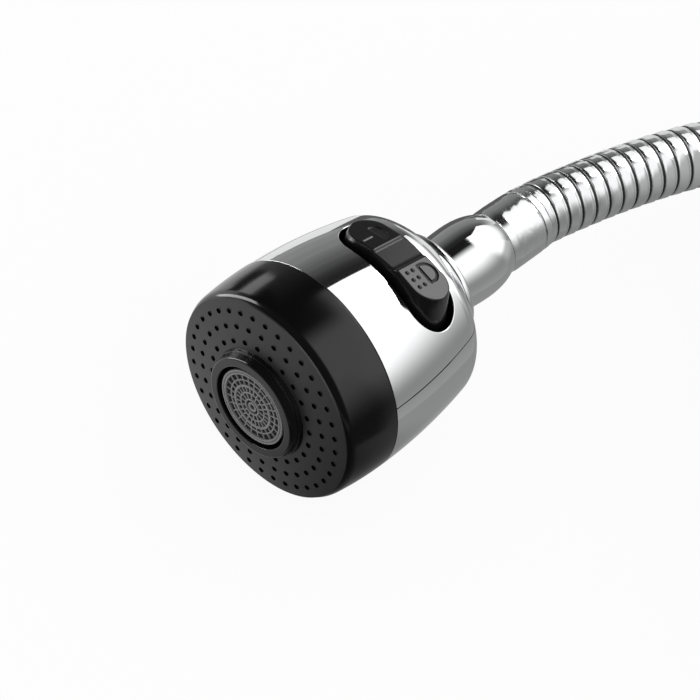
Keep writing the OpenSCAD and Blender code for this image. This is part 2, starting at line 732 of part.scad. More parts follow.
module rocker() {
    shoulder_z = 6.5;
    crown_z = rocker_rise + 1.6;
    cavity_top = 4.6;
    neck_d_top = 4;
    far = 4 * rocker_l;
    color("#1b1b1d") at_pivot() difference() {
        union() {
            difference() {
                union() {
                    hull() {
                        rocker_slab(rocker_l, rocker_w, -skirt_depth);
                        rocker_slab(rocker_l - 1.6, rocker_w - 0.8, shoulder_z);
                    }
                    hull() {
                        rocker_slab(rocker_l - 1.6, rocker_w - 0.8, shoulder_z);
                        rocker_slab(rocker_l - 4, rocker_w - 4.8, crown_z);
                    }
                }
                for (side = [0, 1]) mirror([side, 0, 0])
                    translate([strip_w / 2, 0, rocker_rise]) rotate([-top_lean, 0, 0])
                        rotate([0, pad_slope, 0]) translate([-strip_w, -far / 2, 0])
                            cube([far, far, far]);
                translate([0, 0, rocker_rise - strip_depth]) rotate([-top_lean, 0, 0])
                    translate([-strip_w / 2, -far / 2, 0]) cube([strip_w, far, far]);
                translate([0, 0, -skirt_depth - cut]) linear_extrude(skirt_depth + cavity_top + cut)
                    stadium(rocker_l - 2 * skirt_wall - 1.2, rocker_w - 2 * skirt_wall);
            }
            cylinder(d = neck_d_top, h = cavity_top + cut);
            sphere(d = ball_d);
            translate([0, 0, -lever_l]) cylinder(d = lever_d, h = lever_l);
            translate([0, 0, -lever_l]) sphere(d = lever_tip_d);
        }
        rotate([90, 0, 0]) cylinder(d = pin_d + fit, h = 2 * turret_r + fit, center = true);
    }
}

module diverter_spool() {
    groove_w = 1.6;
    groove_r = barrel_bore / 2 - run - 0.92;
    slot_w = lever_tip_d + fit;
    land_mid = land_end - land_w / 2;
    color("#cdb36a") translate([spool_shift, 0, 0]) difference() {
        on_barrel() {
            cylinder(d = waist_d, h = 2 * land_end, center = true);
            for (side = [-1, 1]) translate([0, 0, side * land_mid]) difference() {
                cylinder(d = barrel_bore - 2 * run, h = land_w, center = true);
                ring(barrel_bore, groove_r, -groove_w / 2, groove_w);
            }
        }
        translate([-slot_w / 2, y_at(rocker_t) - lever_tip_d / 2 - fit, axis_z + barrel_h - 1.9])
            cube([slot_w, lever_tip_d + 2 * fit, barrel_bore]);
    }
}

module spool_seals() {
    wire = 0.9;
    land_mid = land_end - land_w / 2;
    color("#1c1c1c") translate([spool_shift, 0, 0]) on_barrel() for (side = [-1, 1])
        o_ring(barrel_bore / 2 - run - wire / 2, wire, side * land_mid);
}

// Places of the two seals along the stem, from its front end
stem_seal_z = [2.6, 6];
stem_groove_w = 2.2;
stem_groove_r = stem_r - 1;

module swivel_stem() {
    flange_r = sleeve_bore_r - 0.4;
    color("#c9a95c") on_axis() difference() {
        union() {
            translate([0, 0, stem_t]) cylinder(r = stem_r, h = stem_flange_t - stem_t);
            translate([0, 0, stem_flange_t]) cylinder(r = flange_r, h = stem_flange);
            translate([0, 0, stem_flange_t]) cylinder(r = stem_tail_r, h = hose_t - stem_flange_t - fit);
        }
        for (z = stem_seal_z) ring(2 * stem_r, stem_groove_r, stem_t + z - stem_groove_w / 2, stem_groove_w);
        translate([0, 0, stem_t - cut]) cylinder(d = stem_bore, h = hose_t);
    }
}

module stem_seals() {
    wire = inlet_bore / 2 - run / 2 - stem_groove_r;
    color("#1c1c1c") on_axis() for (z = stem_seal_z)
        o_ring(stem_groove_r + wire / 2, wire, stem_t + z);
}

module hose_ferrule() {
    groove = 0.25;
    groove_t = hose_t - 2.2;
    r = ferrule_d / 2;
    bore_r = stem_tail_r + fit / 2;
    color("#d6d8da") lathe([
        [bore_r, ferrule_t], [r - groove, ferrule_t], [r, ferrule_t + groove], [r, groove_t],
        [r - groove, groove_t], [r - groove, groove_t + groove * 2], [r, groove_t + groove * 2],
        [r, hose_t - groove], [r - groove, hose_t], [bore_r, hose_t]
    ]);
}

// Round tube swept along a route of points
module tube(route, r) {
    n = tube_sides;
    last = len(route) - 1;
    function unit(v) = v / norm(v);
    function along(i) = unit(route[min(i + 1, last)] - route[max(i - 1, 0)]);
    rings = [for (i = [0:last])
        let (t = along(i), side = unit(cross(t, [0, 0, 1])), up = cross(side, t))
            for (k = [0:n - 1]) route[i] + r * (cos(k * 360 / n) * side + sin(k * 360 / n) * up)];
    walls = [for (i = [0:last - 1], k = [0:n - 1])
        let (a = i * n + k, b = i * n + (k + 1) % n)
            each [[a, b, b + n], [a, b + n, a + n]]];
    front = [for (k = [n - 1:-1:0]) k];
    back = [for (k = [0:n - 1]) last * n + k];
    polyhedron(points = rings, faces = concat(walls, [front, back]));
}

module hose_lead() {
    color("#c8cacc") tube(hose_route, hose_r);
}

module hose_coil() {
    color("#c8cacc") translate([coil_centre.x, coil_centre.y, 0]) rotate_extrude()
        translate([coil_r, hose_d]) rotate(90) stadium(2 * hose_d, hose_d);
}

module hose_tail() {
    color("#c8cacc") tube(tail_route, hose_r);
}

module coil_tie() {
    tie_angle = 100;
    stack_h = 3 * hose_d;
    color("#2a2a2c") translate([coil_centre.x, coil_centre.y, 0]) rotate(tie_angle)
        translate([coil_r, tie_w / 2, stack_h / 2]) rotate([90, 0, 0]) linear_extrude(tie_w)
            difference() {
                intersection() {
                    rotate(90) stadium(stack_h + 2 * tie_th, hose_d + 2 * tie_th);
                    translate([-hose_d, -stack_h / 2]) square([2 * hose_d, 2 * stack_h]);
                }
                rotate(90) stadium(stack_h - tie_th, hose_d - tie_th);
            }
}

module end_ferrule() {
    color("#d6d8da") at_hose_end() ring(ferrule_d / 2, stub_r + fit / 2, 0, ferrule_l);
}

module end_stub() {
    color("#c9a95c") at_hose_end() difference() {
        union() {
            translate([0, 0, fit]) cylinder(r = stub_r, h = stub_flange_z + stub_flange_th - fit);
            translate([0, 0, stub_flange_z]) cylinder(r = stub_flange_r, h = stub_flange_th);
        }
        cylinder(d = stem_bore, h = hose_d * 2);
    }
}

module hose_nut() {
    flute_d = 3;
    edge = 0.8;
    r = nut_d / 2;
    end = nut_start + nut_l;
    color("#d2d4d7") at_hose_end() difference() {
        rotate_extrude() polygon([
            [stub_r + run, nut_start], [r - 2 * edge, nut_start], [r, nut_start + 2 * edge],
            [r, end - edge], [r - edge, end], [nut_bore / 2, end], [nut_bore / 2, nut_relief_end],
            [nut_relief, nut_relief_end], [nut_relief, nut_start + nut_shoulder],
            [stub_r + run, nut_start + nut_shoulder]
        ]);
        for (i = [0:nut_flutes - 1]) rotate([0, 0, i * 360 / nut_flutes])
            translate([r + flute_d / 2 - 0.6, 0, nut_start - cut])
                cylinder(d = flute_d, h = nut_l * 0.7 + cut);
    }
}

module nut_washer() {
    color("#1c1c1c") at_hose_end()
        ring(nut_bore / 2 - fit, stem_bore / 2 + 1, nut_washer_z, nut_washer_th);
}

front_bezel();
spray_plate();
plate_gasket();
aerator_housing();
aerator_insert();
aerator_screen();
aerator_washer();
water_manifold();
manifold_screws();
shell_screws();
main_body();
top_cover();
trim_ring();
neck_sleeve();
valve_body();
barrel_plugs();
plug_seals();
pivot_seal();
rocker_pin();
inlet_strainer();
thrust_washer();
slip_washer();
rocker();
diverter_spool();
spool_seals();
swivel_stem();
stem_seals();
hose_ferrule();
hose_lead();
hose_coil();
hose_tail();
coil_tie();
end_ferrule();
end_stub();
hose_nut();
nut_washer();
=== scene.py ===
"""Looks of a handheld bath sprayer: a two-mode spray head with a rocker, on a ribbed metal hose."""

import json
import math

import bmesh
import bpy
from mathutils import Matrix, Vector


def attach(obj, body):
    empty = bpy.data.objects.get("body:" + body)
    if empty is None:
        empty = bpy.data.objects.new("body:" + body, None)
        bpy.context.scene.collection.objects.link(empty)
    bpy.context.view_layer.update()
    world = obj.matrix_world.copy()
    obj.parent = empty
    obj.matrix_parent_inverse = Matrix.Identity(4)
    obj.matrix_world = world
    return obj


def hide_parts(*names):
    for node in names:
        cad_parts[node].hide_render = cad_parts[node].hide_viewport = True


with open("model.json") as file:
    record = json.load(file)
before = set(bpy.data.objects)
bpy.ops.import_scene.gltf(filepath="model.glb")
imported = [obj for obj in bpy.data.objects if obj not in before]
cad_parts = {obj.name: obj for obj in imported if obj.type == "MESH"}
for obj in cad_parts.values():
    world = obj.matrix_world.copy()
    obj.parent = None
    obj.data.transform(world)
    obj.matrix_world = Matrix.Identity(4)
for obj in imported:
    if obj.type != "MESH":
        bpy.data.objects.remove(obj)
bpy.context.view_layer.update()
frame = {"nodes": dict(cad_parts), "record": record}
scene = bpy.context.scene
scene.view_settings.view_transform = "Standard"

MM = 0.001
TAU = 2 * math.pi
AXIS_Z = 27.5
NOZZLE_Y = -41.25
INSERT_FACE = 0.9


# Node graphs

MIX_COLOURS = (6, 7)
MIX_RESULT = 2


class Wire:
    """One output socket; arithmetic on it adds Math nodes."""

    def __init__(self, graph, socket):
        self.graph = graph
        self.socket = socket

    def maths(self, operation, *others):
        return self.graph.node("ShaderNodeMath", self, *others, settings={"operation": operation})

    def __add__(self, other):
        return self.maths("ADD", other)

    __radd__ = __add__

    def __sub__(self, other):
        return self.maths("SUBTRACT", other)

    def __rsub__(self, other):
        return self.graph.node("ShaderNodeMath", other, self, settings={"operation": "SUBTRACT"})

    def __mul__(self, other):
        return self.maths("MULTIPLY", other)

    __rmul__ = __mul__

    def __truediv__(self, other):
        return self.maths("DIVIDE", other)

    def __mod__(self, other):
        return self.maths("FLOORED_MODULO", other)

    def step(self, low, high):
        """Smooth rise from 0 to 1 between two values."""
        smooth = {"interpolation_type": "SMOOTHSTEP"}
        return self.graph.node("ShaderNodeMapRange", self, low, high, 0.0, 1.0, settings=smooth)

    def output(self, name):
        return Wire(self.graph, self.socket.node.outputs[name])

    def split(self):
        """A vector's parts, of which X comes first."""
        return self.graph.node("ShaderNodeSeparateXYZ", self)


class Graph:
    """A node tree that is written as expressions."""

    def __init__(self, tree):
        self.tree = tree

    def feed(self, socket, value):
        if isinstance(value, Wire):
            self.tree.links.new(value.socket, socket)
        elif value is not None:
            socket.default_value = value

    def node(self, kind, *values, settings=None, **named):
        made = self.tree.nodes.new(kind)
        for key, value in (settings or {}).items():
            setattr(made, key, value)
        for index, value in enumerate(values):
            self.feed(made.inputs[index], value)
        for key, value in named.items():
            self.feed(made.inputs[key.replace("_", " ")], value)
        return Wire(self, made.outputs[0]) if made.outputs else None

    def blend(self, factor, first, second):
        """Mix of two colours, each a wire or its red, green and blue."""
        mixed = self.tree.nodes.new("ShaderNodeMix")
        mixed.data_type = "RGBA"
        self.feed(mixed.inputs[0], factor)
        for index, value in zip(MIX_COLOURS, (first, second)):
            self.feed(mixed.inputs[index], value if isinstance(value, Wire) else (*value, 1.0))
        return Wire(self, mixed.outputs[MIX_RESULT])

    def pick(self, index, values):
        """One number of a list, by its index."""
        made = self.tree.nodes.new("GeometryNodeIndexSwitch")
        made.data_type = "FLOAT"
        while len(made.index_switch_items) < len(values):
            made.index_switch_items.new()
        self.feed(made.inputs[0], index)
        for socket, value in zip(made.inputs[1:], values):
            self.feed(socket, value)
        return Wire(self, made.outputs[0])


class Finish(Graph):
    """A material with one Principled shader."""

    def __init__(self, name, metallic=0.0, ior=1.5):
        self.material = bpy.data.materials.new(name)
        self.material.use_nodes = True
        super().__init__(self.material.node_tree)
        self.shader = self.tree.nodes["Principled BSDF"]
        self.put("Metallic", metallic)
        self.put("IOR", ior)
        self.place = self.node("ShaderNodeTexCoord").output("Object")

    def put(self, socket, value):
        self.feed(self.shader.inputs[socket], value)

    def grain(self, scale, detail=2.0, roughness=0.5, vector=None):
        """Noise over the piece's own coordinates, or over another vector."""
        return self.node(
            "ShaderNodeTexNoise", Vector=vector or self.place, Scale=scale, Detail=detail,
            Roughness=roughness,
        )

    def surface(self, tint, roughness, height, distance, strength):
        """Feeds the shader, with a bump of some height, and gives the material."""
        self.put("Base Color", tint)
        self.put("Roughness", roughness)
        bumped = self.node("ShaderNodeBump", Strength=strength, Distance=distance, Height=height)
        self.put("Normal", bumped)
        return self.material

    def end_in(self, shader):
        """Ends the material in another shader than the Principled one."""
        self.tree.links.new(shader.socket, self.tree.nodes["Material Output"].inputs["Surface"])


def stock_finish(
    name, dark, pale, gloss, metallic=0.0, cloud=(300.0, 3.0), grain=(1800.0, 2.0), bump=(0.00003, 0.2),
    hazy=False,
):
    """Plated, moulded or turned stock: clouded in colour, finely grained, its gloss varying with either."""
    finish = Finish(name, metallic)
    clouds = finish.grain(*cloud)
    grains = finish.grain(*grain)
    base, spread = gloss
    roughness = base + spread * (clouds if hazy else grains)
    return finish.surface(finish.blend(clouds, dark, pale), roughness, grains, *bump)


def crimp_finish():
    """Chrome of a pressed ferrule: dented, scuffed and hazy where the dies bit."""
    finish = Finish("crimped_chrome", metallic=1.0)
    dent = finish.grain(260.0, 2.0)
    scuff = finish.grain(900.0, 4.0, 0.7)
    tint = finish.blend(scuff, (0.70, 0.705, 0.71), (0.86, 0.865, 0.87))
    return finish.surface(tint, 0.05 + 0.16 * scuff, dent + 0.1 * scuff, 0.0004, 0.2)


def hose_finish():
    """Bright rolled strip, finely drawn along its length and rougher down in the grooves, with painted shade
    darkening the grooves and the step.
    """
    finish = Finish("rolled_strip", metallic=1.0)
    depth = finish.node("ShaderNodeAttribute", settings={"attribute_name": "groove"}).output("Fac")
    streak = finish.grain(700.0, 2.0)
    clean = finish.blend(streak, (0.70, 0.705, 0.71), (0.79, 0.795, 0.80))
    # Painted shade: the colour darkens where the groove attribute marks the grooves and the step.
    tint = finish.blend(depth, clean, (0.05, 0.05, 0.052))
    return finish.surface(tint, 0.09 + 0.05 * streak + 0.25 * depth, streak, 0.00002, 0.12)


def satin_black_finish():
    """Fine-grained black moulding of the rocker, darker in its sunk signs; pale on its raised dash, partly
    as a painted highlight, and pale along the riser edges as a painted highlight.
    """
    finish = Finish("satin_black_moulding")
    sign = finish.node("ShaderNodeAttribute", settings={"attribute_name": "sign"}).output("Fac")
    grain = finish.grain(2600.0, 3.0, 0.6)
    cloud = finish.grain(110.0, 2.0)
    plain = finish.blend(cloud, (0.003, 0.003, 0.0032), (0.005, 0.005, 0.0053))
    dark = sign.step(0.05, 0.9)
    sunk = finish.blend(dark, plain, (0.0015, 0.0015, 0.0016))
    # Paler colour where the sign value is below 0: on the dash partly a painted highlight, on the riser
    # edges a painted highlight.
    tint = finish.blend((0 - sign).step(0.1, 0.9), sunk, (0.11, 0.11, 0.112))
    return finish.surface(tint, 0.21 + 0.06 * grain + 0.25 * dark, grain, 0.00003, 0.12)


def insert_finish():
    """Pale grey acetal of the aerator insert, with painted shade darkening the cells between its ribs."""
    finish = Finish("insert_moulding", ior=1.48)
    split = finish.place.split()
    face = NOZZLE_Y + INSERT_FACE
    # Painted shade: the colour darkens with depth into the cells between the ribs.
    sunk = split.output("Y").step((face + 0.2) * MM, (face + 0.9) * MM)
    grain = finish.grain(1800.0, 3.0)
    cloud = finish.grain(260.0, 3.0)
    pale = finish.blend(cloud, (0.13, 0.13, 0.129), (0.22, 0.22, 0.218))
    tint = finish.blend(sunk, pale, (0.04, 0.04, 0.04))
    return finish.surface(tint, 0.40 + 0.15 * grain, grain, 0.00003, 0.25)


def strap_finish():
    """Woven black webbing: two crossed sets of yarns."""
    finish = Finish("woven_strap")
    split = finish.place.split()
    yarn = 2400.0
    warp = (split.output("Z") * yarn).maths("SINE")
    weft = ((split.output("X") + split.output("Y")) * yarn).maths("SINE")
    weave = (warp * weft) * 0.5 + 0.5
    tint = finish.blend(weave, (0.016, 0.016, 0.017), (0.045, 0.045, 0.048))
    return finish.surface(tint, 0.75 + 0.15 * weave, weave, 0.0002, 0.6)


CRIMP = crimp_finish()
SLOT_FINISH = {
    "chrome": stock_finish(
        "chrome_plating", (0.80, 0.805, 0.81), (0.86, 0.865, 0.87), (0.03, 0.03), 1.0,
        (90.0, 3.0), (420.0, 1.0), (0.00002, 0.05), hazy=True,
    ),
    "gloss_black": stock_finish(
        "gloss_black_moulding", (0.0016, 0.0016, 0.0017), (0.003, 0.003, 0.0032), (0.13, 0.05), 0.0,
        (60.0, 3.0), (500.0, 2.0), (0.00002, 0.08), hazy=True,
    ),
    "satin_black": satin_black_finish(),
    "plate_grey": stock_finish(
        "plate_moulding", (0.011, 0.011, 0.0113), (0.016, 0.016, 0.0164), (0.34, 0.10), 0.0,
        (70.0, 2.0), (2200.0, 4.0, 0.65), (0.00004, 0.2),
    ),
    "insert_grey": insert_finish(),
    "seal_rubber": stock_finish("seal_rubber", (0.012, 0.012, 0.012), (0.022, 0.022, 0.022), (0.6, 0.12)),
    "valve_plastic": stock_finish(
        "valve_moulding", (0.03, 0.032, 0.034), (0.05, 0.052, 0.055), (0.5, 0.12)
    ),
    "slip_plastic": stock_finish("slip_moulding", (0.72, 0.69, 0.6), (0.8, 0.77, 0.68), (0.4, 0.12)),
    "steel": stock_finish("bright_steel", (0.52, 0.53, 0.54), (0.66, 0.67, 0.68), (0.2, 0.12), 1.0),
    "brass": stock_finish("turned_brass", (0.6, 0.43, 0.17), (0.74, 0.56, 0.25), (0.22, 0.12), 1.0),
    "hose_strip": hose_finish(),
    "strap_fabric": strap_finish(),
}
CHROME = SLOT_FINISH["chrome"]
GLOSS_BLACK = SLOT_FINISH["gloss_black"]


# Curves and meshes

FILLET_SHARE = 0.45
REST = 0.12
REST_SHARE = 0.04
HALVINGS = 40


def spaced(low, high, count):
    return [low + (high - low) * i / count for i in range(count + 1)]


def clamped(u, top=1.0):
    return min(max(u, 0.0), top)


def ease(u):
    """Smooth rise from 0 to 1."""
    u = clamped(u)
    return u * u * (3 - 2 * u)


def bow(start, corner, end, u):
    """Point of a curve that leaves its start towards a corner and comes to its end from there."""
    return start * (1 - u) ** 2 + corner * 2 * u * (1 - u) + end * u * u


def last_true(test, low, high):
    """Highest value at which a test still holds, found by halving."""
    for _ in range(HALVINGS):
        middle = (low + high) / 2
        if test(middle):
            low = middle
        else:
            high = middle
    return low


def in_metres(points):
    return [tuple(c * MM for c in p) for p in points]


def grid_faces(rows, columns, rows_close=True, columns_close=True):
    """Quads between neighbouring points of a grid, which may close on itself either way."""
    faces = []
    for i in range(rows if rows_close else rows - 1):
        j = (i + 1) % rows
        for k in range(columns if columns_close else columns - 1):
            m = (k + 1) % columns
            faces.append((i * columns + k, i * columns + m, j * columns + m, j * columns + k))
    return faces


def new_piece(name, points, faces, finish, sharp_deg=38.0, outward=True, signs=None):
    """A mesh piece from points in millimetres, smooth except over sharp edges."""
    mesh = bpy.data.meshes.new(name)
    mesh.from_pydata(in_metres(points), [], faces)
    work = bmesh.new()
    work.from_mesh(mesh)
    if signs:
        layer = work.verts.layers.float.new("sign")
        for vertex, value in zip(work.verts, signs):
            vertex[layer] = value
    bmesh.ops.remove_doubles(work, verts=work.verts, dist=0.000002)
    if outward:
        bmesh.ops.recalc_face_normals(work, faces=work.faces)
    work.to_mesh(mesh)
    work.free()
    for face in mesh.polygons:
        face.use_smooth = True
    mesh.set_sharp_from_angle(angle=math.radians(sharp_deg))
    mesh.materials.append(finish)
    piece = bpy.data.objects.new(name, mesh)
    scene.collection.objects.link(piece)
    return piece


def settle(piece, body, slot, *nodes):
    """Puts a piece on its body, in place of the plain solids that it stands for."""
    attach(piece, body)
    if nodes:
        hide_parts(*nodes)
    return piece


def head_frame(radius, clock, along):
    """Point at a radius and clock angle around the head's axis, along it from the nozzle's face."""
    return (radius * math.sin(clock), NOZZLE_Y + along, AXIS_Z + radius * math.cos(clock))


def rounded(corners, steps=5):
    """Closed outline of (radius, along, fillet) corners, with short rests beside each fillet."""
    outline = []
    count = len(corners)
    for i, (r, a, fillet) in enumerate(corners):
        here = Vector((r, a))
        if fillet <= 0:
            outline.append((r, a))
            continue
        ends = []
        rests = []
        for other in (corners[i - 1], corners[(i + 1) % count]):
            side = Vector(other[:2]) - here
            toward = side.normalized()
            ends.append(here + toward * min(fillet, side.length * FILLET_SHARE))
            rests.append(tuple(ends[-1] + toward * min(REST, side.length * REST_SHARE)))
        outline.append(rests[0])
        outline += [tuple(bow(ends[0], here, ends[1], k / steps)) for k in range(steps + 1)]
        outline.append(rests[1])
    return outline


def add_turned(name, corners, body, slot, node, sides, finish=None, frame_point=head_frame, wobble=None):
    """A closed ring or disc turned from rounded corners, in place of one of the plain solids."""
    outline = rounded(corners)
    points = []
    for k in range(sides):
        clock = TAU * k / sides
        for r, a in outline:
            shrink = wobble(clock, r, a) if wobble else 0.0
            points.append(frame_point(r - shrink, clock, a))
    faces = grid_faces(sides, len(outline))
    settle(new_piece(name, points, faces, finish or SLOT_FINISH[slot]), body, slot, node)


SOCKET_KINDS = {float: "NodeSocketFloat", int: "NodeSocketInt", bpy.types.Material: "NodeSocketMaterial"}


def run_tree(name, base, build, slot, **values):
    """Builds a geometry tree with these values, runs it on a base and keeps its result as a plain piece."""
    values["finish"] = SLOT_FINISH[slot]
    tree = bpy.data.node_groups.new(name, "GeometryNodeTree")
    face = tree.interface
    face.new_socket("base", in_out="INPUT", socket_type="NodeSocketGeometry")
    keyed = {}
    for label, value in values.items():
        socket = face.new_socket(label, in_out="INPUT", socket_type=SOCKET_KINDS[type(value)])
        keyed[socket.identifier] = value
    face.new_socket("piece", in_out="OUTPUT", socket_type="NodeSocketGeometry")
    graph = Graph(tree)
    given = graph.node("NodeGroupInput")
    whole = graph.node("GeometryNodeRealizeInstances", build(graph, given))
    dressed = graph.node("GeometryNodeSetMaterial", Geometry=whole, Material=given.output("finish"))
    graph.node("NodeGroupOutput", dressed)
    scene.collection.objects.link(base)
    modifier = base.modifiers.new("build", "NODES")
    modifier.node_group = tree
    for key, value in keyed.items():
        modifier[key] = value
    bpy.context.view_layer.update()
    depsgraph = bpy.context.evaluated_depsgraph_get()
    mesh = bpy.data.meshes.new_from_object(base.evaluated_get(depsgraph))
    mesh.name = name
    bpy.data.objects.remove(base)
    piece = bpy.data.objects.new(name, mesh)
    scene.collection.objects.link(piece)
    return piece


def swept(graph, line, sides, radius):
    """A smooth mesh swept along a line, with its own radius at each point."""
    circle = graph.node("GeometryNodeCurvePrimitiveCircle", Resolution=sides, Radius=1.0)
    swept_mesh = graph.node(
        "GeometryNodeCurveToMesh", Curve=line, Profile_Curve=circle, Scale=radius, Fill_Caps=True
    )
    return graph.node("GeometryNodeSetShadeSmooth", Geometry=swept_mesh)


def points_base(name, places):
    mesh = bpy.data.meshes.new(name)
    mesh.from_pydata(in_metres(places), [], [])
    return bpy.data.objects.new(name, mesh)


# Camera

CAMERA_PLACE = (211.85, -446.36, 697.88)
CAMERA_BACK = Vector((0.25396, -0.52717, 0.81092)).normalized()
CAMERA_RIGHT = Vector((-0.69876, 0.4797, 0.53068)).cross(CAMERA_BACK).normalized()
CAMERA_LENS = 185.14
SENSOR = 36.0


def add_camera():
    data = bpy.data.cameras.new("camera")
    data.lens = CAMERA_LENS
    data.sensor_width = SENSOR
    data.clip_start = 0.01
    data.clip_end = 20.0
    camera = bpy.data.objects.new("camera", data)
    scene.collection.objects.link(camera)
    up = CAMERA_BACK.cross(CAMERA_RIGHT)
    turn = Matrix((CAMERA_RIGHT, up, CAMERA_BACK)).transposed().to_4x4()
    camera.matrix_world = Matrix.Translation(Vector(CAMERA_PLACE) * MM) @ turn
    scene.camera = camera


add_camera()


# Hose

HOSE_R = 8.0
HOSE_LENGTH = 1500.0
HOSE_ROUTE = [
    (0, 0.05225, 0.0275), (0.0001, 0.0545, 0.0275), (0.0006, 0.0585, 0.0275), (0.0017, 0.065, 0.0275),
    (0.0036, 0.075, 0.0275), (0.0059, 0.085, 0.0275), (0.0086, 0.095, 0.0275), (0.0118, 0.105, 0.0273),
    (0.0171, 0.118, 0.0265), (0.0234, 0.1305, 0.0243), (0.0307, 0.1425, 0.0212), (0.0388, 0.154, 0.0176),
    (0.0476, 0.1649, 0.0141), (0.057, 0.1754, 0.011), (0.0671, 0.1853, 0.0088), (0.0776, 0.1946, 0.008),
]
COIL_CENTRE = (0.131, 0.131)
COIL_R = 0.083
COIL_START = 50.0
CLIMB_FROM = 245.0
CLIMB_OVER = 80.0
END_LIFT = 0.0044
END_LIFT_OVER = 45.0
STRAIGHT = 0.035
STRIP_PITCH = 4.2
HOSE_SIDES = 36
HOSE_SHARP = math.radians(30)
ROUTE_STEPS = 6
COIL_STEP = 3.0
CLOSE_STRIPS = 30
CLOSE_SHARES = (0.0, 0.20, 0.33, 0.365, 0.39, 0.50, 0.535, 0.665, 0.70, 0.76, 0.88)
CLOSE_DROPS = (0.05, 0.025, 0.0, 0.06, 0.18, 0.20, 0.50, 0.50, 0.20, 0.12, 0.085)
# Painted shade of each ring of a strip: dark in the groove and partly dark along the step.
CLOSE_PAINTED_SHADES = (0.0, 0.0, 0.0, 0.5, 0.1, 0.0, 1.0, 1.0, 0.3, 0.0, 0.0)
FAR_SHARES = (0.0, 0.375, 0.41, 0.56, 0.61, 0.68)
FAR_DROPS = (0.0, 0.02, 0.20, 0.20, 0.50, 0.02)
FAR_PAINTED_SHADES = (0.0, 0.2, 0.2, 0.0, 1.0, 0.0)


def smooth_route(points, per_span):
    """Points on a smooth line through the route's points."""
    line = []
    padded = [points[0]] + points + [points[-1]]
    for i in range(1, len(padded) - 2):
        p0, p1, p2, p3 = padded[i - 1:i + 3]
        for k in range(per_span):
            u = k / per_span
            line.append(0.5 * (
                2 * p1 + (p2 - p0) * u + (2 * p0 - 5 * p1 + 4 * p2 - p3) * u * u
                + (3 * p1 - p0 - 3 * p2 + p3) * u * u * u
            ))
    return line


def coil_point(angle, turn):
    """Point on the coil after so many degrees; the far end runs straight and lies higher, for the nut."""
    climbs = ease((angle - CLIMB_FROM) / CLIMB_OVER) + ease((angle - CLIMB_FROM - 360) / CLIMB_OVER)
    lift = END_LIFT * ease((angle - turn + END_LIFT_OVER) / END_LIFT_OVER)
    straight_from = turn - math.degrees(STRAIGHT / COIL_R)
    past = math.radians(max(angle - straight_from, 0.0))
    bearing = math.radians(COIL_START + min(angle, straight_from))
    return Vector((
        COIL_CENTRE[0] - COIL_R * (math.cos(bearing) - past * math.sin(bearing)),
        COIL_CENTRE[1] + COIL_R * (math.sin(bearing) + past * math.cos(bearing)),
        HOSE_R * MM * (1 + 2 * climbs) + lift,
    ))


def hose_line():
    route = [Vector(p) for p in HOSE_ROUTE]
    lead = sum((b - a).length for a, b in zip(route, route[1:]))
    turn = math.degrees((HOSE_LENGTH * MM - lead) / COIL_R)
    steps = int(turn / COIL_STEP)
    line = smooth_route(route, ROUTE_STEPS)
    line += [coil_point(turn * i / steps, turn) for i in range(steps + 1)]
    return line, turn


HOSE_LINE, COIL_TURN = hose_line()
HOSE_END = HOSE_LINE[-1]
HOSE_END_BEARING = math.radians(COIL_START + COIL_TURN) - STRAIGHT / COIL_R


def hose_shape(graph, given):
    """Sweeps an interlocked strip along a line: rising crests, a step and a narrow groove."""
    line = given.output("base")
    close, far = len(CLOSE_SHARES), len(FAR_SHARES)
    cut = CLOSE_STRIPS * close
    length = graph.node("GeometryNodeCurveLength", line)
    strips = (length / given.output("pitch")).maths("FLOOR")
    count = (strips - CLOSE_STRIPS) * far + cut + 1
    evenly = graph.node("GeometryNodeResampleCurve", settings={"mode": "COUNT"}, Curve=line, Count=count)
    index = graph.node("GeometryNodeInputIndex")
    past = (index - cut).maths("MAXIMUM", 0.0)
    is_far = index.maths("GREATER_THAN", cut - 0.5)
    close_ring = index % close
    far_ring = past % far

    def by_ring(close_values, far_values):
        first = graph.pick(close_ring, close_values)
        return first + is_far * (graph.pick(far_ring, far_values) - first)

    close_strip = (index / close).maths("FLOOR")
    strip = close_strip + is_far * ((past / far).maths("FLOOR") + CLOSE_STRIPS - close_strip)
    along = (strip + by_ring(CLOSE_SHARES, FAR_SHARES)) * (length / strips)
    by_length = {"mode": "LENGTH", "use_all_curves": True}
    sampled = graph.node("GeometryNodeSampleCurve", settings=by_length, Curves=line, Length=along)
    moved = graph.node("GeometryNodeSetPosition", Geometry=evenly, Position=sampled.output("Position"))
    radius = given.output("crest") - given.output("drop") * by_ring(CLOSE_DROPS, FAR_DROPS)
    per_point = {"data_type": "FLOAT", "domain": "POINT"}
    # Stores each ring's painted shade as the groove attribute.
    marked = graph.node("GeometryNodeStoreNamedAttribute", settings=per_point, Geometry=moved, Name="groove")
    graph.feed(marked.socket.node.inputs["Value"], by_ring(CLOSE_PAINTED_SHADES, FAR_PAINTED_SHADES))
    return swept(graph, marked, given.output("sides"), radius)


def add_hose():
    curve = bpy.data.curves.new("hose_line", "CURVE")
    curve.dimensions = "3D"
    spline = curve.splines.new("POLY")
    spline.points.add(len(HOSE_LINE) - 1)
    for point, place in zip(spline.points, HOSE_LINE):
        point.co = (*place, 1.0)
    hose = run_tree(
        "hose", bpy.data.objects.new("hose_line", curve), hose_shape, "hose_strip",
        pitch=STRIP_PITCH * MM, crest=HOSE_R * MM, drop=MM, sides=HOSE_SIDES,
    )
    hose.data.set_sharp_from_angle(angle=HOSE_SHARP)
    return settle(hose, "hose", "hose_strip", "hose_lead", "hose_coil", "hose_tail")


hose = add_hose()


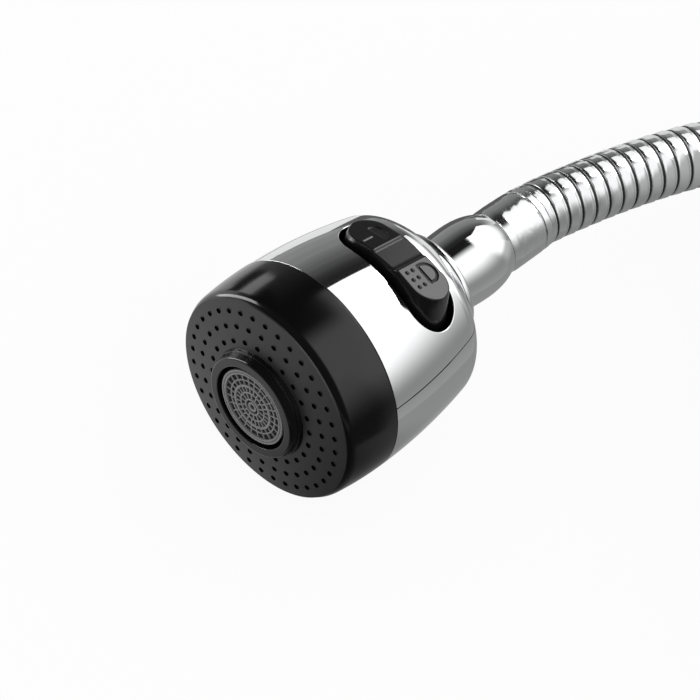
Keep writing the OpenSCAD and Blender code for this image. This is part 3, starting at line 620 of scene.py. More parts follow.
def hose_end_frame(radius, clock, along):
    """Point around the far end's line, along it from the end of the hose."""
    ahead = Vector((math.sin(HOSE_END_BEARING), math.cos(HOSE_END_BEARING), 0))
    side = Vector((ahead.y, -ahead.x, 0))
    place = HOSE_END / MM + ahead * along + side * radius * math.sin(clock)
    return (place.x, place.y, place.z + radius * math.cos(clock))


END_FERRULE_CORNERS = [
    (4.95, 0, 0.1), (8.4, 0, 0.35), (8.4, 7.2, 0.1), (8.1, 7.5, 0.1), (8.1, 8.1, 0.1),
    (8.4, 8.4, 0.1), (8.4, 10.7, 0.35), (4.95, 10.7, 0.1),
]
NUT_CORNERS = [
    (4.98, 13, 0.1), (10.4, 13, 0.3), (12, 14.6, 0.3), (12, 24.2, 0.05), (12, 24.9, 0.05),
    (12, 28.2, 0.3), (11.2, 29, 0.2), (9.4, 29, 0.2), (9.4, 21.1, 0.1), (9.8, 21.1, 0.1),
    (9.8, 16.8, 0.1), (4.98, 16.8, 0.1),
]
FLUTES = 12
FLUTE_DEPTH = 0.6
FLUTE_LOW_R = 11.5
FLUTE_END = 24.6


def flute(clock, r, along):
    """How deep the nut's flutes are at a place on its outside."""
    if r < FLUTE_LOW_R or along > FLUTE_END:
        return 0.0
    return FLUTE_DEPTH * max(0.0, math.cos(FLUTES * clock)) ** 2


def add_end_pieces():
    """Ferrule and fluted nut at the hose's far end."""
    add_turned(
        "end_ferrule_piece", END_FERRULE_CORNERS, "hose", "chrome", "end_ferrule", 72,
        frame_point=hose_end_frame,
    )
    add_turned(
        "hose_nut_piece", NUT_CORNERS, "nut", "chrome", "hose_nut", 144,
        frame_point=hose_end_frame, wobble=flute,
    )


add_end_pieces()


TIE_BEARING = math.radians(100)
TIE_WIDTH = 14.0
TIE_THICK = 1.1
TIE_EDGE = 0.5
TIE_ARC_STEPS = 16
STACK = 48.0
ABOVE_FLOOR = 0.02


def add_tie():
    """Woven strap around the stacked turns."""
    out = Vector((math.cos(TIE_BEARING), math.sin(TIE_BEARING), 0))
    along = Vector((-out.y, out.x, 0))
    middle = Vector((COIL_CENTRE[0] / MM, COIL_CENTRE[1] / MM, 0)) + out * (COIL_R / MM)
    section = []
    for start, level in ((0.0, STACK - HOSE_R), (math.pi, HOSE_R)):
        for k in range(TIE_ARC_STEPS + 1):
            a = start + math.pi * k / TIE_ARC_STEPS
            section.append((HOSE_R * math.cos(a), level + HOSE_R * math.sin(a)))
    half = TIE_WIDTH / 2
    profile = [(0.0, TIE_EDGE - half), (TIE_THICK / 2, -half), (TIE_THICK, TIE_EDGE - half)]
    profile += [(grow, -aside) for grow, aside in profile[::-1]]
    points = []
    for grow, aside in profile:
        for u, v in section:
            near = HOSE_R if v < HOSE_R else min(v, STACK - HOSE_R)
            away = Vector((u, v - near)).normalized() * grow
            place = middle + out * (u + away.x) + along * aside
            points.append((place.x, place.y, max(v + away.y, ABOVE_FLOOR)))
    faces = grid_faces(len(profile), len(section))
    strap = new_piece("coil_strap", points, faces, SLOT_FINISH["strap_fabric"])
    settle(strap, "hose", "strap_fabric", "coil_tie")


add_tie()


# Chrome shell

CREST = 18.5
HEAD_R = 27.5
SIDE_CURVE = 135.0
SHELL_FRONT = 19.9
SHOULDER = 48.0
CORNER = 52.9
CORNER_R = 23.15
SHELL_END = 56.8
SHELL_END_R = 13.0
SHELL_WALL = 2.0
SHELL_STEP_R = 12.85
SHELL_MOUTH_R = 8.4
SEAM_H = 13.7
POCKET_AT = 40.1
POCKET_HALF_L = 16.7
POCKET_HALF_W = 6.5
FRONT_ROUND = 0.05
SEAM_ROUND = 0.15
SEAM_DROP = 0.05
SEAM_GAP = 0.3
POCKET_RIM = 0.4
POCKET_SINKS = (3.2, 1.2)
RIM_STEPS = 7
EDGE_BAND = 0.7
EDGE_BACKS = (0.32, 0.22, 0.14, 0.07, 0.02, 0.0)
INNER_ROWS = 4
COVER_TURNS = 224
COVER_RINGS = 40
REACH_LIMITS = (5.0, 60.0)
BODY_COLUMNS = 170
SEAM_SHARES = (0.0, 0.2, 0.45, 0.7, 1.0)


def shell_radius(along):
    """Outside radius of the chrome shell."""
    if along <= SHOULDER:
        return HEAD_R - (along - CREST) ** 2 / (2 * SIDE_CURVE)
    start = shell_radius(SHOULDER)
    rise = 2 * (CORNER - SHOULDER)
    fall = SHELL_END - 2 * CORNER + SHOULDER
    u = min((-rise + math.sqrt(rise * rise + 4 * fall * (along - SHOULDER))) / (2 * fall), 1.0)
    return bow(start, CORNER_R, SHELL_END_R, u)


def edge_drop(distance, width, depth):
    """How far a rounded edge falls away at a distance from it."""
    return depth * (1 - clamped(distance / width)) ** 2


def shade_faces_black(piece, places):
    """Gives some faces of a plated piece the gloss black moulding finish, as painted shade in its gaps and
    pocket.
    """
    piece.data.materials.append(GLOSS_BLACK)
    for place in places:
        piece.data.polygons[place].material_index = 1


def add_main_body():
    """Chrome shell below the seam, with a crisp edge along it."""
    stations = [SHELL_FRONT + s for s in (0.0, 0.05, 0.1, 0.16, 0.22, 0.3, 0.6)]
    stations += spaced(SHELL_FRONT + 1.2, SHOULDER, 40)
    stations += [SHOULDER + (SHELL_END - SHOULDER) * math.sin(k / 48 * math.pi / 2) for k in range(1, 49)]
    rows = []
    for along in stations:
        rows.append((shell_radius(along) - edge_drop(along - SHELL_FRONT, FRONT_ROUND, FRONT_ROUND), along))
    rows += [(SHELL_STEP_R, SHELL_END), (SHELL_MOUTH_R, SHELL_END), (SHELL_MOUTH_R, SHELL_END - SHELL_WALL)]
    inner = spaced(SHELL_END - SHELL_WALL - 0.3, SHOULDER - 1, 14) + spaced(SHOULDER - 4, SHELL_FRONT, 8)
    for along in inner:
        rows.append((min(shell_radius(along) - SHELL_WALL, shell_radius(along + 1.6) - 1.0), along))
    points = []
    low_seam = SEAM_H - SEAM_GAP / 2
    for r, along in rows:
        seam = math.acos(min(low_seam / r, 1.0)) if r > low_seam else 0.0
        soft = [SEAM_ROUND * share / r for share in SEAM_SHARES]
        angles = [seam + s for s in soft]
        angles += spaced(seam + 2 * soft[-1], TAU - seam - 2 * soft[-1], BODY_COLUMNS - 2 * len(soft))
        angles += [TAU - seam - s for s in soft[::-1]]
        for angle in angles:
            points.append(head_frame(r, angle, along))
    width = BODY_COLUMNS + 1
    count = len(rows)
    faces = grid_faces(count, width, columns_close=False)
    sheet = len(faces)
    for k in (0, width - 1):
        for i in range(count // 2):
            back = count - 1 - i
            if i + 1 < back:
                faces.append(tuple(row * width + k for row in (i, i + 1, back - 1, back)))
    body = new_piece("shell_body", points, faces, CHROME)
    # Painted shade: the seam's end faces are black so the gap reads dark.
    shade_faces_black(body, range(sheet, len(faces)))
    settle(body, "head", "chrome", "main_body")


def add_top_cover():
    """Chrome cover above the seam with the rocker's pocket, its rim rolled inward."""
    seam = SEAM_H + SEAM_GAP / 2
    corner = math.atan2(SHELL_FRONT - POCKET_AT, math.sqrt(shell_radius(SHELL_FRONT) ** 2 - seam * seam))
    turns = [TAU * k / COVER_TURNS for k in range(COVER_TURNS)]
    turns = sorted(turns + [corner + TAU, math.pi - corner])
    around = len(turns)

    def stadium_reach(c, s, grow):
        half_w = POCKET_HALF_W + grow
        straight = POCKET_HALF_L - POCKET_HALF_W
        if abs(s) > 1e-9 and abs(c) * half_w / abs(s) <= straight:
            return half_w / abs(s)
        across = straight * abs(c)
        return across + math.sqrt(max(across * across - straight * straight + half_w * half_w, 0.0))

    def outer_reach(c, s, thick):
        def inside(reach):
            x, along = c * reach, POCKET_AT + s * reach
            if along < SHELL_FRONT or along > SHELL_END:
                return False
            r = shell_radius(along) - thick
            return r * r - x * x >= seam * seam

        return last_true(inside, *REACH_LIMITS)

    def lifted(c, s, reach, thick=0.0, sink=0.0):
        x = c * reach
        along = min(max(POCKET_AT + s * reach, SHELL_FRONT), SHELL_END)
        r = shell_radius(along) - thick
        height = math.sqrt(max(r * r - x * x, 1.0))
        front = edge_drop(along - SHELL_FRONT, FRONT_ROUND, FRONT_ROUND)
        side = edge_drop(height - seam, SEAM_ROUND, SEAM_DROP)
        return (x, NOZZLE_Y + along, AXIS_Z + height - sink - front - side)

    columns = []
    for angle in turns:
        c, s = math.cos(angle), math.sin(angle)
        hole = stadium_reach(c, s, 0.0)
        edge = stadium_reach(c, s, POCKET_RIM)
        outer = outer_reach(c, s, 0.0)
        inner = outer_reach(c, s, SHELL_WALL)
        column = [lifted(c, s, hole, 0.0, sink) for sink in POCKET_SINKS]
        for step in range(RIM_STEPS + 1):
            bend = step / RIM_STEPS * math.pi / 2
            reach = edge - (edge - hole) * math.cos(bend)
            column.append(lifted(c, s, reach, 0.0, POCKET_RIM * (1 - math.sin(bend))))
        for ring in range(1, COVER_RINGS + 1):
            column.append(lifted(c, s, edge + (outer - EDGE_BAND - edge) * (ring / COVER_RINGS) ** 1.2))
        column += [lifted(c, s, outer - back) for back in EDGE_BACKS]
        column.append(lifted(c, s, inner, SHELL_WALL))
        column.append(lifted(c, s, (hole + inner) / 2, SHELL_WALL))
        column.append(lifted(c, s, hole, SHELL_WALL, 0.6))
        columns.append(column)
    count = len(columns[0])
    points = [p for loop in zip(*columns) for p in loop]
    cover = new_piece("shell_cover", points, grid_faces(count, around), CHROME)
    gaps = [row for row in range(count) if row < len(POCKET_SINKS) or row >= count - INNER_ROWS]
    # Painted shade: the pocket's wall and the cover's inside are black so the pocket reads dark.
    shade_faces_black(cover, [row * around + k for row in gaps for k in range(around)])
    settle(cover, "head", "chrome", "top_cover")


add_main_body()
add_top_cover()


# Bezel, neck, ferrule and outlet ring

BEZEL_CURVE = 90.0
BEZEL_FRONT = 5.05
BEZEL_LIP_END = 7.6
BEZEL_LIP_R = 24.75
BEZEL_MOUTH_R = 24.46
BEZEL_BACK = 19.8
SKIRT_R = 25.4
SKIRT_FROM = 14.8
TRIM_CORNERS = [
    (8.3, 56.85, 0.05), (12.9, 56.85, 0.05), (13.1, 57.0, 0.05), (14.3, 57.6, 0.35), (14.45, 58.7, 0.4),
    (13.9, 59.4, 0.3), (12.4, 59.8, 0.2), (8.3, 59.8, 0.05),
]
NECK_START = 59.85
NECK_R = 9.4
NECK_BORE_R = 8.2
NECK_FLARE = 0.065
BELL_FROM = 65.0
BELL_LENGTH = 14.8
BELL_FALL = 2.547
BELL_POWER = 3.3
NECK_END_CORNERS = [(8.15, 79.8, 0.08), (5.98, 79.8, 0.1), (5.98, 73.9, 0.1), (NECK_BORE_R, 73.9, 0.1)]
FERRULE_START = 79.9
FERRULE_BORE_R = 5.95
FERRULE_SMALL_R = 8.15
FERRULE_R = 8.4
FERRULE_SWELL = 2.5
FERRULE_TAPER = 0.2 / 11
TAPER_FROM = 82.5
BITE_LOW_R = 7.5
BITE_AT = 82.6
BITE_WIDE = 1.6
BITE_DEEP = 0.09
RIPPLE = 0.01
FERRULE_END_CORNERS = [
    (8.25, 90.6, 0.06), (7.65, 90.72, 0.04), (7.65, 91.2, 0.04), (8.16, 91.36, 0.08), (8.16, 93.1, 0.2),
    (7.7, 93.5, 0.1), (FERRULE_BORE_R, 93.5, 0.05),
]
OUTLET_CORNERS = [
    (10.7, 0.4, 0.3), (12.85, 0.4, 0.4), (13.45, 2.3, 0.06), (13.36, 2.36, 0.02), (13.38, 2.46, 0.02),
    (13.58, 2.52, 0.05), (13.85, 3.47, 0.02), (12.0, 3.47, 0.05),
    (12.0, 9.5, 0.1), (11.0, 9.5, 0.1), (11.0, 2.3, 0.1), (10.7, 2.3, 0.1),
]


def bezel_radius(along):
    return HEAD_R - (CREST - along) ** 2 / (2 * BEZEL_CURVE)


def bezel_lip():
    """Broad rounding from the bezel's front into its side."""
    start = Vector((BEZEL_LIP_R, BEZEL_FRONT))
    end = Vector((bezel_radius(BEZEL_LIP_END), BEZEL_LIP_END))
    slope = (CREST - BEZEL_LIP_END) / BEZEL_CURVE
    turn = Vector((end.x - slope * (BEZEL_LIP_END - BEZEL_FRONT), BEZEL_FRONT))
    places = [bow(start, turn, end, u) for u in spaced(0.0, 1.0, 14)]
    return [(place.x, place.y, 0) for place in places]


def neck_radius(along):
    """Outside radius of the neck, which flares a little and then closes in a bell."""
    closing = max(0.0, (along - BELL_FROM) / BELL_LENGTH)
    return NECK_R + NECK_FLARE * (along - NECK_START) - BELL_FALL * closing ** BELL_POWER


def press_marks(clock, r, along):
    """How deep the crimping dies bit into the ferrule's outside."""
    if r < BITE_LOW_R:
        return 0.0
    bite = max(0.0, math.sin(3 * clock + 0.9 * along)) * math.exp(-((along - BITE_AT) / BITE_WIDE) ** 2)
    return BITE_DEEP * bite + RIPPLE * math.sin(7 * clock + 2.2 * along)


def add_turned_pieces():
    bezel_curve = [(bezel_radius(a), a, 0) for a in spaced(BEZEL_LIP_END + 0.3, BEZEL_BACK - 0.5, 28)]
    bezel_inside = [(SKIRT_R, BEZEL_BACK, 0.1), (SKIRT_R, SKIRT_FROM, 0.1), (BEZEL_MOUTH_R, SKIRT_FROM, 0.1)]
    bezel = [(BEZEL_MOUTH_R, BEZEL_FRONT, 0.1)] + bezel_lip() + bezel_curve
    bezel += [(bezel_radius(BEZEL_BACK), BEZEL_BACK, 0.25)] + bezel_inside
    add_turned("bezel", bezel, "head", "gloss_black", "front_bezel", 192)
    add_turned("trim", TRIM_CORNERS, "head", "chrome", "trim_ring", 160)
    neck = [(NECK_BORE_R, NECK_START, 0.05), (NECK_R, NECK_START, 0.2)]
    neck += [(neck_radius(a), a, 0) for a in spaced(60.5, 79.5, 50)]
    add_turned("neck", neck + NECK_END_CORNERS, "head", "chrome", "neck_sleeve", 160)
    ferrule = [(FERRULE_BORE_R, FERRULE_START, 0.05), (FERRULE_SMALL_R, FERRULE_START, 0.08)]
    for a in spaced(80.2, 82.4, 10):
        growth = ease((a - FERRULE_START) / FERRULE_SWELL)
        ferrule.append((FERRULE_SMALL_R + (FERRULE_R - FERRULE_SMALL_R) * growth, a, 0))
    ferrule += [(FERRULE_R - FERRULE_TAPER * (a - TAPER_FROM), a, 0) for a in spaced(82.8, 90.4, 18)]
    add_turned(
        "ferrule", ferrule + FERRULE_END_CORNERS, "hose", "chrome", "hose_ferrule", 160,
        finish=CRIMP, wobble=press_marks,
    )
    add_turned("nozzle_ring", OUTLET_CORNERS, "head", "gloss_black", "aerator_housing", 144)


add_turned_pieces()


# Aerator insert

INSERT_R = 9.7
INSERT_DEEP = 0.9
INSERT_RINGS = ((0.72, 0.2, 0.3), (0.57, 0.3, 0.1), (0.385, 0.2, 0.15), (0.21, 0.22, 0.0))
RIB_ZONES = ((8.5, 7.18, 24, 0.35), (6.78, 5.83, 24, 0.3), (5.23, 3.93, 24, 0.25), (3.53, 2.26, 14, 0.2))
RIB_WIDTH = 0.32
RIB_OVERLAP = 0.2


def add_insert():
    """Stepped body of the insert, its rings standing proud of the cells between them."""
    back = 7.5
    cell = INSERT_FACE + INSERT_DEEP
    outline = [(0.02, back, 0), (INSERT_R, back, 0.1), (INSERT_R, INSERT_FACE, 0.15)]
    outline += [(9.25, INSERT_FACE, 0.06), (9.15, 1.15, 0.04), (9.0, 1.15, 0.04), (8.9, INSERT_FACE, 0.06)]
    outline += [(8.5, INSERT_FACE, 0.08), (8.5, cell, 0)]
    for share, half, sink in INSERT_RINGS:
        outside = share * INSERT_R + half
        inside = share * INSERT_R - half
        level = INSERT_FACE + sink
        outline += [(outside, cell, 0), (outside, level, 0.1), (inside, level, 0.1), (inside, cell, 0)]
    hub = INSERT_FACE + 0.1
    outline += [(1.32, cell, 0), (1.28, hub, 0.1), (0.7, hub, 0.1), (0.66, cell, 0), (0.02, cell, 0)]
    add_turned("insert_body", outline, "head", "insert_grey", "aerator_insert", 120)


def rib_shape(graph, given):
    """Stands a rib on each point of a ring of cells, turned to the middle."""
    size = graph.node("ShaderNodeCombineXYZ", 1.0, given.output("depth"), given.output("width"))
    rib = graph.node("GeometryNodeMeshCube", Size=size)
    place = graph.node("GeometryNodeInputPosition").split()
    up = place.output("Z") - given.output("axis")
    angle = (0 - up).maths("ARCTAN2", place)
    turn = graph.node("ShaderNodeCombineXYZ", 0.0, angle, 0.0)
    reach = graph.node("GeometryNodeInputNamedAttribute", "rib_length", settings={"data_type": "FLOAT"})
    stretch = graph.node("ShaderNodeCombineXYZ", reach, 1.0, 1.0)
    return graph.node(
        "GeometryNodeInstanceOnPoints", Points=given.output("base"), Instance=rib,
        Rotation=turn, Scale=stretch,
    )


def add_ribs():
    places = []
    lengths = []
    for outer, inner, count, sink in RIB_ZONES:
        level = INSERT_FACE + sink + INSERT_DEEP / 2
        for k in range(count):
            places.append(head_frame((outer + inner) / 2, TAU * k / count, level))
            lengths.append((outer - inner + RIB_OVERLAP) * MM)
    base = points_base("rib_places", places)
    base.data.attributes.new("rib_length", "FLOAT", "POINT").data.foreach_set("value", lengths)
    ribs = run_tree(
        "insert_ribs", base, rib_shape, "insert_grey",
        width=RIB_WIDTH * MM, depth=INSERT_DEEP * MM, axis=AXIS_Z * MM,
    )
    settle(ribs, "head", "insert_grey")


add_insert()
add_ribs()


# Spray holes

HOLE_ROWS = ((22.81, 36), (19.19, 30), (15.56, 24))
HOLE_PHASE = math.radians(-7.4)
PLATE_EDGE = 4.5
PLATE_DISH = 326.0
MOUTH_R = 0.75
MOUTH_LIP = 0.05
CUP_DEEP = 0.7
CUP_SIDES = 14
LIP_FALLS = (1.0, -1.0, -1.0, 1.0, 0.0)
DEPTH_FALLS = (0.0, 0.0, 0.0, 0.0, 1.0)
LIP_WIDTHS = (1.0, 0.4, -0.6, -1.4, -2.2)


def rim_shape(graph, given):
    """Sets a small dark rubber cup with a raised lip into each spray hole; its darkness is partly painted
    shade deep in the hole.
    """
    lip = given.output("lip")
    line = graph.node("GeometryNodeCurvePrimitiveLine", Start=(0, 0, 0), End=(0, 1, 0))
    by_count = {"mode": "COUNT"}
    levels = graph.node("GeometryNodeResampleCurve", settings=by_count, Curve=line, Count=len(LIP_FALLS))
    index = graph.node("GeometryNodeInputIndex")
    fall = graph.pick(index, LIP_FALLS) * lip + graph.pick(index, DEPTH_FALLS) * given.output("depth")
    level = graph.node("ShaderNodeCombineXYZ", 0.0, fall, 0.0)
    placed = graph.node("GeometryNodeSetPosition", Geometry=levels, Position=level)
    wide = given.output("mouth") + lip * graph.pick(index, LIP_WIDTHS)
    cup = swept(graph, placed, CUP_SIDES, wide)
    return graph.node("GeometryNodeInstanceOnPoints", Points=given.output("base"), Instance=cup)


def add_rims():
    places = []
    for radius, count in HOLE_ROWS:
        along = PLATE_EDGE - (HOLE_ROWS[0][0] ** 2 - radius ** 2) / PLATE_DISH
        for k in range(count):
            places.append(head_frame(radius, HOLE_PHASE + TAU * k / count, along))
    # Dark rubber cups, partly painted shade that makes the holes read darker and wider.
    rims = run_tree(
        "hole_rims", points_base("hole_places", places), rim_shape, "seal_rubber",
        mouth=MOUTH_R * MM, lip=MOUTH_LIP * MM, depth=CUP_DEEP * MM,
    )
    settle(rims, "head", "seal_rubber")


add_rims()


# Rocker

PIVOT = Vector((0, -1.15, 45.1))
REST_TILT = math.radians(9)
SKIRT_Z = -2.4
DECK_Z = 6.5
CROWN_H = 5.7
CROWN_LIMIT = 1.2
TOP_Z = 10.6
PAD_SLOPE = math.tan(math.radians(13.5))
TOP_LEAN = math.tan(math.radians(10))
RISER_IN = 3.25
RISER_OUT = 4.0
RIGHT_RISER_IN = 2.9
RISER_EDGES = (-3.93, -3.31)
STEP_SHARE = 0.35
STRIP_SINK = 0.6
D_RIGHT = (7.45, 0.78, 0.85, 2.42)
D_LEFT = (-7.9, 0.8, 0.0, 2.65)
DOTS = [(x, y) for x in (5.46, 7.53, 9.6) for y in (-1.22, -2.98)]
DASH_AT = -7.7
DASH_FROM = -3.84
DASH_TO = -1.01
RIM_ROUND = 0.5
RIM_TRIES = 30
ABOVE_Z = 12.0
HOLLOW_WALL = 1.2
HOLLOW_HALF_W = 4.7
HOLLOW_END = 13.6
ROOF_Z = 4.6
ROOF_SLOPE = 6.0


def rocker_frame(x, y, z):
    """From the rocker's own level frame at its pivot to its place at rest, left side down."""
    turn = Matrix.Rotation(-REST_TILT, 3, "Y")
    return tuple(PIVOT + turn @ Vector((x, y, z)))


def rocker_taper(z, at_skirt, to_deck, to_crown):
    """Half of an outside size, which tapers up to the deck and faster above it."""
    below = clamped((z - SKIRT_Z) / (DECK_Z - SKIRT_Z))
    above = clamped((z - DECK_Z) / CROWN_H, CROWN_LIMIT)
    return at_skirt - to_deck * below - to_crown * above


def rocker_half_length(z):
    return rocker_taper(z, 15.4, 0.8, 1.2)


def rocker_half_width(z):
    return rocker_taper(z, 5.9, 0.4, 0.75)


def rocker_wall(x, z):
    """Half width of the rocker's outline at a length place and a height, 0 past its end."""
    half_l = rocker_half_length(z)
    half_w = rocker_half_width(z)
    past = abs(x) - (half_l - half_w)
    if past <= 0:
        return half_w
    rest = half_w * half_w - past * past
    return math.sqrt(rest) if rest > 0 else 0.0


def rocker_top(x, y):
    """Height of the paddles and of the lower strip between them."""
    slope = PAD_SLOPE * max(abs(x) - RISER_OUT + 0.4, 0.0)
    if x < 0:
        share = clamped((abs(x) - RISER_IN) / (RISER_OUT - RISER_IN))
        first_step = min(share / STEP_SHARE, 1.0)
        second_step = max(share - 1 + STEP_SHARE, 0.0) / STEP_SHARE
        sunk = 1 - 0.5 * first_step - 0.5 * second_step
    else:
        sunk = 1 - clamped((x - RIGHT_RISER_IN) / (RISER_OUT - RIGHT_RISER_IN))
    return TOP_Z - slope - STRIP_SINK * sunk - TOP_LEAN * y


def d_distance(x, y, sign):
    """Distance outside a D shaped sign that stands on its straight side."""
    middle, base, straight, radius = sign
    round_side = math.hypot(x - middle, max(y - base - straight, 0.0)) - radius
    return max(round_side, base - y)


def pad_sign(x, y):
    """Height of the moulded signs on the pads, and their colour: above 0 is darker; below 0 is paler, which
    is partly a painted highlight on the dash and wholly a painted highlight on the riser edges.
    """
    far = d_distance(x, y, D_RIGHT)
    wide = 0.36 if y < D_RIGHT[1] + 0.3 and abs(x - D_RIGHT[0]) < D_RIGHT[3] else 0.24
    ring = ease((wide + 0.1 - abs(far)) / 0.2)
    fill = ease(0.5 - d_distance(x, y, D_LEFT) / 0.3)
    dot = max(ease((0.5 - math.hypot(x - a, y - b)) / 0.25) for a, b in DOTS)
    # The raised dash is painted pale: partly its own mark, partly a painted highlight where it catches
    # light.
    dash_y = max(DASH_FROM - y, y - DASH_TO, 0.0)
    dash = ease((0.3 - math.hypot(x - DASH_AT, dash_y)) / 0.2)
    # Painted highlight: pale lines along both riser edges stand in for glints of light.
    painted_glint = max(ease((0.2 - abs(x - edge)) / 0.1) for edge in RISER_EDGES)
    lift = 0.28 * dot + 0.16 * dash - 0.3 * ring - 0.28 * fill
    return lift, max(ring, fill, 0.8 * dot) - max(dash, 0.9 * painted_glint)


def add_rocker():
    """Rocker cap lofted from cross sections, hollow below, with its signs moulded into the pads."""
    tip = [15.39, 15.3, 15.15, 15.0, 14.85, 14.7, 14.55, 14.4, 14.25, 14.1, 13.95, 13.8, 13.65, 13.5]
    pad = spaced(13.35, 4.2, 64)
    riser = [4.08, 4.03, 4.0, 3.97, 3.87, 3.77, 3.74, 3.7, 3.55, 3.51, 3.48, 3.38, 3.28, 3.25, 3.2, 3.1]
    half = tip + pad + riser + [2.6, 1.9, 1.2, 0.6]
    stations = [-x for x in half] + [0.0] + half[::-1]
    wall_steps, bend_steps, top_steps = 9, 6, 70
    points = []
    signs = []
    for x in stations:
        end_z = last_true(lambda z: rocker_half_length(z) > abs(x), SKIRT_Z, ABOVE_Z)
        section = []
        for side in (-1, 1):
            z_rim = min(rocker_top(x, 0.0), end_z)
            for _ in range(RIM_TRIES):
                z_rim = min(rocker_top(x, side * rocker_wall(x, z_rim)), end_z)
            y_rim = side * rocker_wall(x, z_rim)
            soft = min(RIM_ROUND, abs(y_rim) * 0.6)
            lower = z_rim - soft
            wall = [(side * rocker_wall(x, z), z) for z in spaced(SKIRT_Z, lower, wall_steps)]
            y_in = y_rim - side * soft
            z_in = min(rocker_top(x, y_in), end_z)
            bend = []
            for k in range(1, bend_steps + 1):
                u = k / bend_steps
                bend.append((bow(wall[-1][0], y_rim, y_in, u), bow(lower, z_rim, z_in, u)))
            section.append(wall + bend)
        start, stop = section[0][-1][0], section[1][-1][0]
        top = []
        shades = []
        for k in range(1, top_steps):
            y = start + (stop - start) * k / top_steps
            lift, shade = pad_sign(x, y)
            top.append((y, min(rocker_top(x, y), end_z) + lift))
            shades.append(shade)
        hollow = min(max(rocker_wall(x, SKIRT_Z) - HOLLOW_WALL, 0.02), HOLLOW_HALF_W)
        roof = min(ROOF_Z, max(SKIRT_Z + 0.1, (HOLLOW_END - abs(x)) * ROOF_SLOPE + SKIRT_Z))
        under = [(hollow, SKIRT_Z), (hollow, roof), (0.0, roof), (-hollow, roof), (-hollow, SKIRT_Z)]
        loop = section[0] + top + section[1][::-1] + under
        points += [rocker_frame(x, y, z) for y, z in loop]
        signs += [0.0] * len(section[0]) + shades + [0.0] * (len(section[1]) + len(under))
    width = len(points) // len(stations)
    faces = grid_faces(len(stations), width, rows_close=False)
    faces.append(tuple(range(width)))
    faces.append(tuple(range(len(points) - width, len(points))))
    finish = SLOT_FINISH["satin_black"]
    cap = new_piece("rocker_cap", points, faces, finish, sharp_deg=60.0, signs=signs)
    settle(cap, "rocker", "satin_black", "rocker")


add_rocker()


# Carried-over solids


def dress_solids():
    slot_of = {row["node"]: row["material_slot"] for row in frame["record"]["subparts"]}
    for name, node in frame["nodes"].items():
        node.data.materials.clear()
        node.data.materials.append(SLOT_FINISH[slot_of[name]])


dress_solids()


# Studio

FLOOR_HALF = 4000.0
CAMERA_WHITE = 0.93
FLAG_X = -105
NEAR_X = -79
LAMP_X = -120
GROUND_Z = 0.5
SCREEN_AT = (60, 62)
SCREEN_ALONG = (-0.72, 0.69)
SCREEN_REACH = (-170, 60)
SCREEN_TOP = 150


def floor_finish():
    """Pale floor: white to the camera but for a trace of shade, greyer in mirrors on the coil's side."""
    finish = Finish("pale_floor")
    cloud = finish.grain(3.0)
    finish.put("Base Color", finish.blend(cloud, (0.80, 0.80, 0.80), (0.82, 0.82, 0.82)))
    finish.put("Roughness", 0.9)
    finish.put("Specular IOR Level", 0.0)
    x = finish.place.split()
    y = x.output("Y")
    beside = x.step(0.0, 0.06) * (1 - y.step(-0.03, 0.02))
    under_face = x.step(-0.045, 0.03) * (1 - y.step(-0.05, -0.02))
    right = x.step(-0.01, 0.04)
    right_behind = right + y.step(0.0, 0.04) * (x.step(-0.03, 0.015) - right)
    mirror_shade = (0.84 - 0.55 * right_behind) * (1 - 0.8 * beside) * (1 - 0.5 * under_face)
    path = finish.node("ShaderNodeLightPath")
    white = finish.node("ShaderNodeEmission", (1, 1, 1, 1), 1.0)
    mirrored = finish.node("ShaderNodeEmission", mirror_shade, 1.0)
    lit = Wire(finish, finish.shader.outputs[0])
    first = finish.node("ShaderNodeMixShader", path * CAMERA_WHITE, lit, white)
    finish.end_in(finish.node("ShaderNodeMixShader", path.output("Is Glossy Ray"), first, mirrored))
    return finish.material


def add_floor():
    half = FLOOR_HALF
    corners = [(-half, -half, 0), (half, -half, 0), (half, half, 0), (-half, half, 0)]
    new_piece("floor", corners, [(0, 1, 2, 3)], floor_finish(), outward=False)


def shining(name, build):
    """A cloth that only shines, with the shade that its builder works out from the place."""
    finish = Finish(name)
    x = finish.place.split()
    shade = build(finish, x, x.output("Y"), x.output("Z"))
    finish.end_in(finish.node("ShaderNodeEmission", shade, 1.0))
    return finish.material


def even_cloth(name, shade, spread, scale):
    """A cloth of a nearly even shade."""
    return shining(name, lambda finish, x, y, z: shade + spread * finish.grain(scale))


def flag_shade(finish, x, y, z):
    """Streaked dark cloth, darker higher up and paler far behind."""
    streaked = finish.node("ShaderNodeMapping", finish.place, Scale=(1.0, 2.0, 60.0))
    streak = finish.grain(1.0, 2.0, vector=streaked)
    away = y.step(0.16, 0.30)
    return (0.30 - 0.28 * z.step(0.0, 0.15)) * (0.7 + 0.6 * streak) + 0.5 * away


def screen_shade(finish, x, y, z):
    """Screen before the coil: its own grading for the head, for the hose and for the bezel's side."""
    across = (x - SCREEN_AT[0] * MM) * SCREEN_ALONG[0] + (y - SCREEN_AT[1] * MM) * SCREEN_ALONG[1]
    head_part = 0.34 - 0.06 * z.step(0.0, 0.035) + 1.0 * z.step(0.037, 0.105)
    hose_part = 0.28 + 0.27 * z.step(0.012, 0.045) + 0.7 * z.step(0.044, 0.060)
    near = head_part + across.step(0.018, 0.034) * (hose_part - head_part)
    far = 0.06 + z.step(0.04, 0.13) * across.step(-0.14, -0.10)
    return far + across.step(-0.066, -0.048) * (near - far)


def upright(x, y_from, y_to, z_from, z_to):
    """Corners of an upright board across the x direction."""
    return [(x, y_from, z_from), (x, y_to, z_from), (x, y_to, z_to), (x, y_from, z_to)]


def lying(*corners):
    """Corners of a board just above the floor."""
    return [(x, y, GROUND_Z) for x, y in corners]


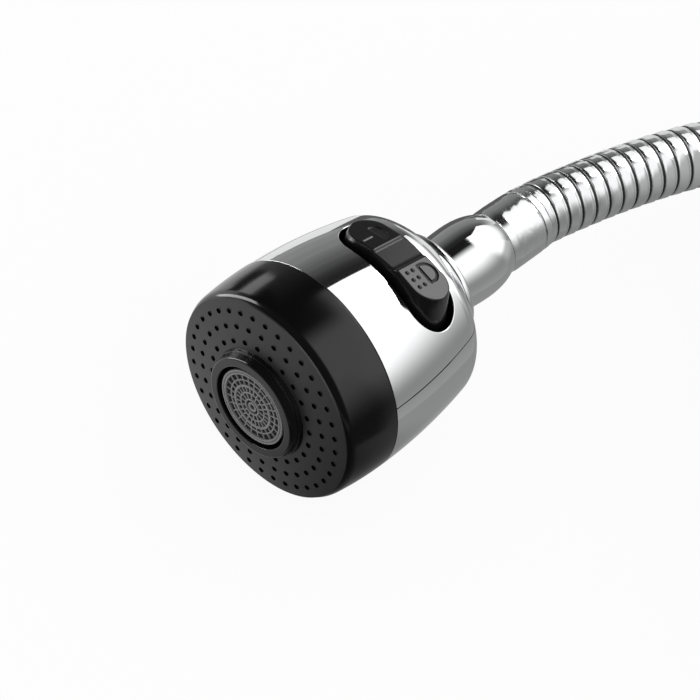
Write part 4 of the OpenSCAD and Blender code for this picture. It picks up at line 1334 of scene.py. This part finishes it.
def add_card(name, corners, finish):
    """Board beside the object that only its reflections see."""
    card = new_piece(name, corners, [(0, 1, 2, 3)], finish, outward=False)
    card.visible_camera = False
    card.visible_diffuse = False
    card.visible_shadow = False
    card.visible_transmission = False


def add_cards():
    dark = shining("flag_cloth", flag_shade)
    black = even_cloth("low_flag_cloth", 0.02, 0.02, 20.0)
    streak = even_cloth("streak_cloth", 1.5, 0.3, 20.0)
    ground = even_cloth("ground_flag_cloth", 0.10, 0.03, 20.0)
    lamp = even_cloth("side_lamp_cloth", 6.0, 1.0, 5.0)
    add_card("flag", upright(FLAG_X, 14, 153, 0, 184), dark)
    add_card("hose_flag", upright(FLAG_X, 153, 320, 33, 106), dark)
    add_card("low_flag", upright(NEAR_X, -14, 10, 22, 40), black)
    add_card("streak_card", upright(NEAR_X, -14, 8, 42, 60), streak)
    add_card("ground_flag", lying((-12, 36), (-12, 70), (-105, 120), (-105, 72)), ground)
    add_card("far_ground_flag", lying((-40, 86), (-40, 112), (-104, 190), (-104, 121)), ground)
    add_card("side_lamp", upright(LAMP_X, -40, -78, 0, 100), lamp)
    ends = [[at + reach * way for at, way in zip(SCREEN_AT, SCREEN_ALONG)] for reach in SCREEN_REACH]
    (ax, ay), (bx, by) = ends
    screen = [(ax, ay, 0), (bx, by, 0), (bx, by, SCREEN_TOP), (ax, ay, SCREEN_TOP)]
    add_card("coil_screen", screen, shining("coil_screen_cloth", screen_shade))
    middle = Vector((35, 483, 418))
    across = Vector((0.98, 0.18, 0)) * 250
    up = Vector((0.11, -0.597, 0.795)) * 150
    corners = [middle - across - up, middle + across - up, middle + across + up, middle - across + up]
    add_card("back_softbox", [tuple(c) for c in corners], even_cloth("softbox_cloth", 4.2, 0.2, 4.0))


def add_world():
    """Even white light; mirrors see it greyer near the floor, and dark before the face and overhead."""
    world = bpy.data.worlds.new("studio")
    scene.world = world
    world.use_nodes = True
    graph = Graph(world.node_tree)
    aside = graph.node("ShaderNodeTexCoord").output("Generated").split()
    ahead = aside.output("Y")
    up = aside.output("Z")
    overhead = (1 - aside.step(-0.25, 0.1)) * ahead.step(-0.1, 0.1) * (1 - ahead.step(0.50, 0.525))
    overhead = overhead * up.step(0.12, 0.25)
    graded = 0.28 + 0.97 * up.step(0.05, 0.45)
    graded = graded * (1 - 0.95 * (1 - ahead.step(0.02, 0.16)) * up.step(0.05, 0.2))
    mirrored = graded * (1 - overhead) + 0.01 * overhead
    glossy = graph.node("ShaderNodeLightPath").output("Is Glossy Ray")
    back = world.node_tree.nodes["Background"]
    graph.feed(back.inputs["Color"], 1 - glossy + glossy * mirrored)
    graph.feed(back.inputs["Strength"], 1.0)


add_floor()
add_cards()
add_world()
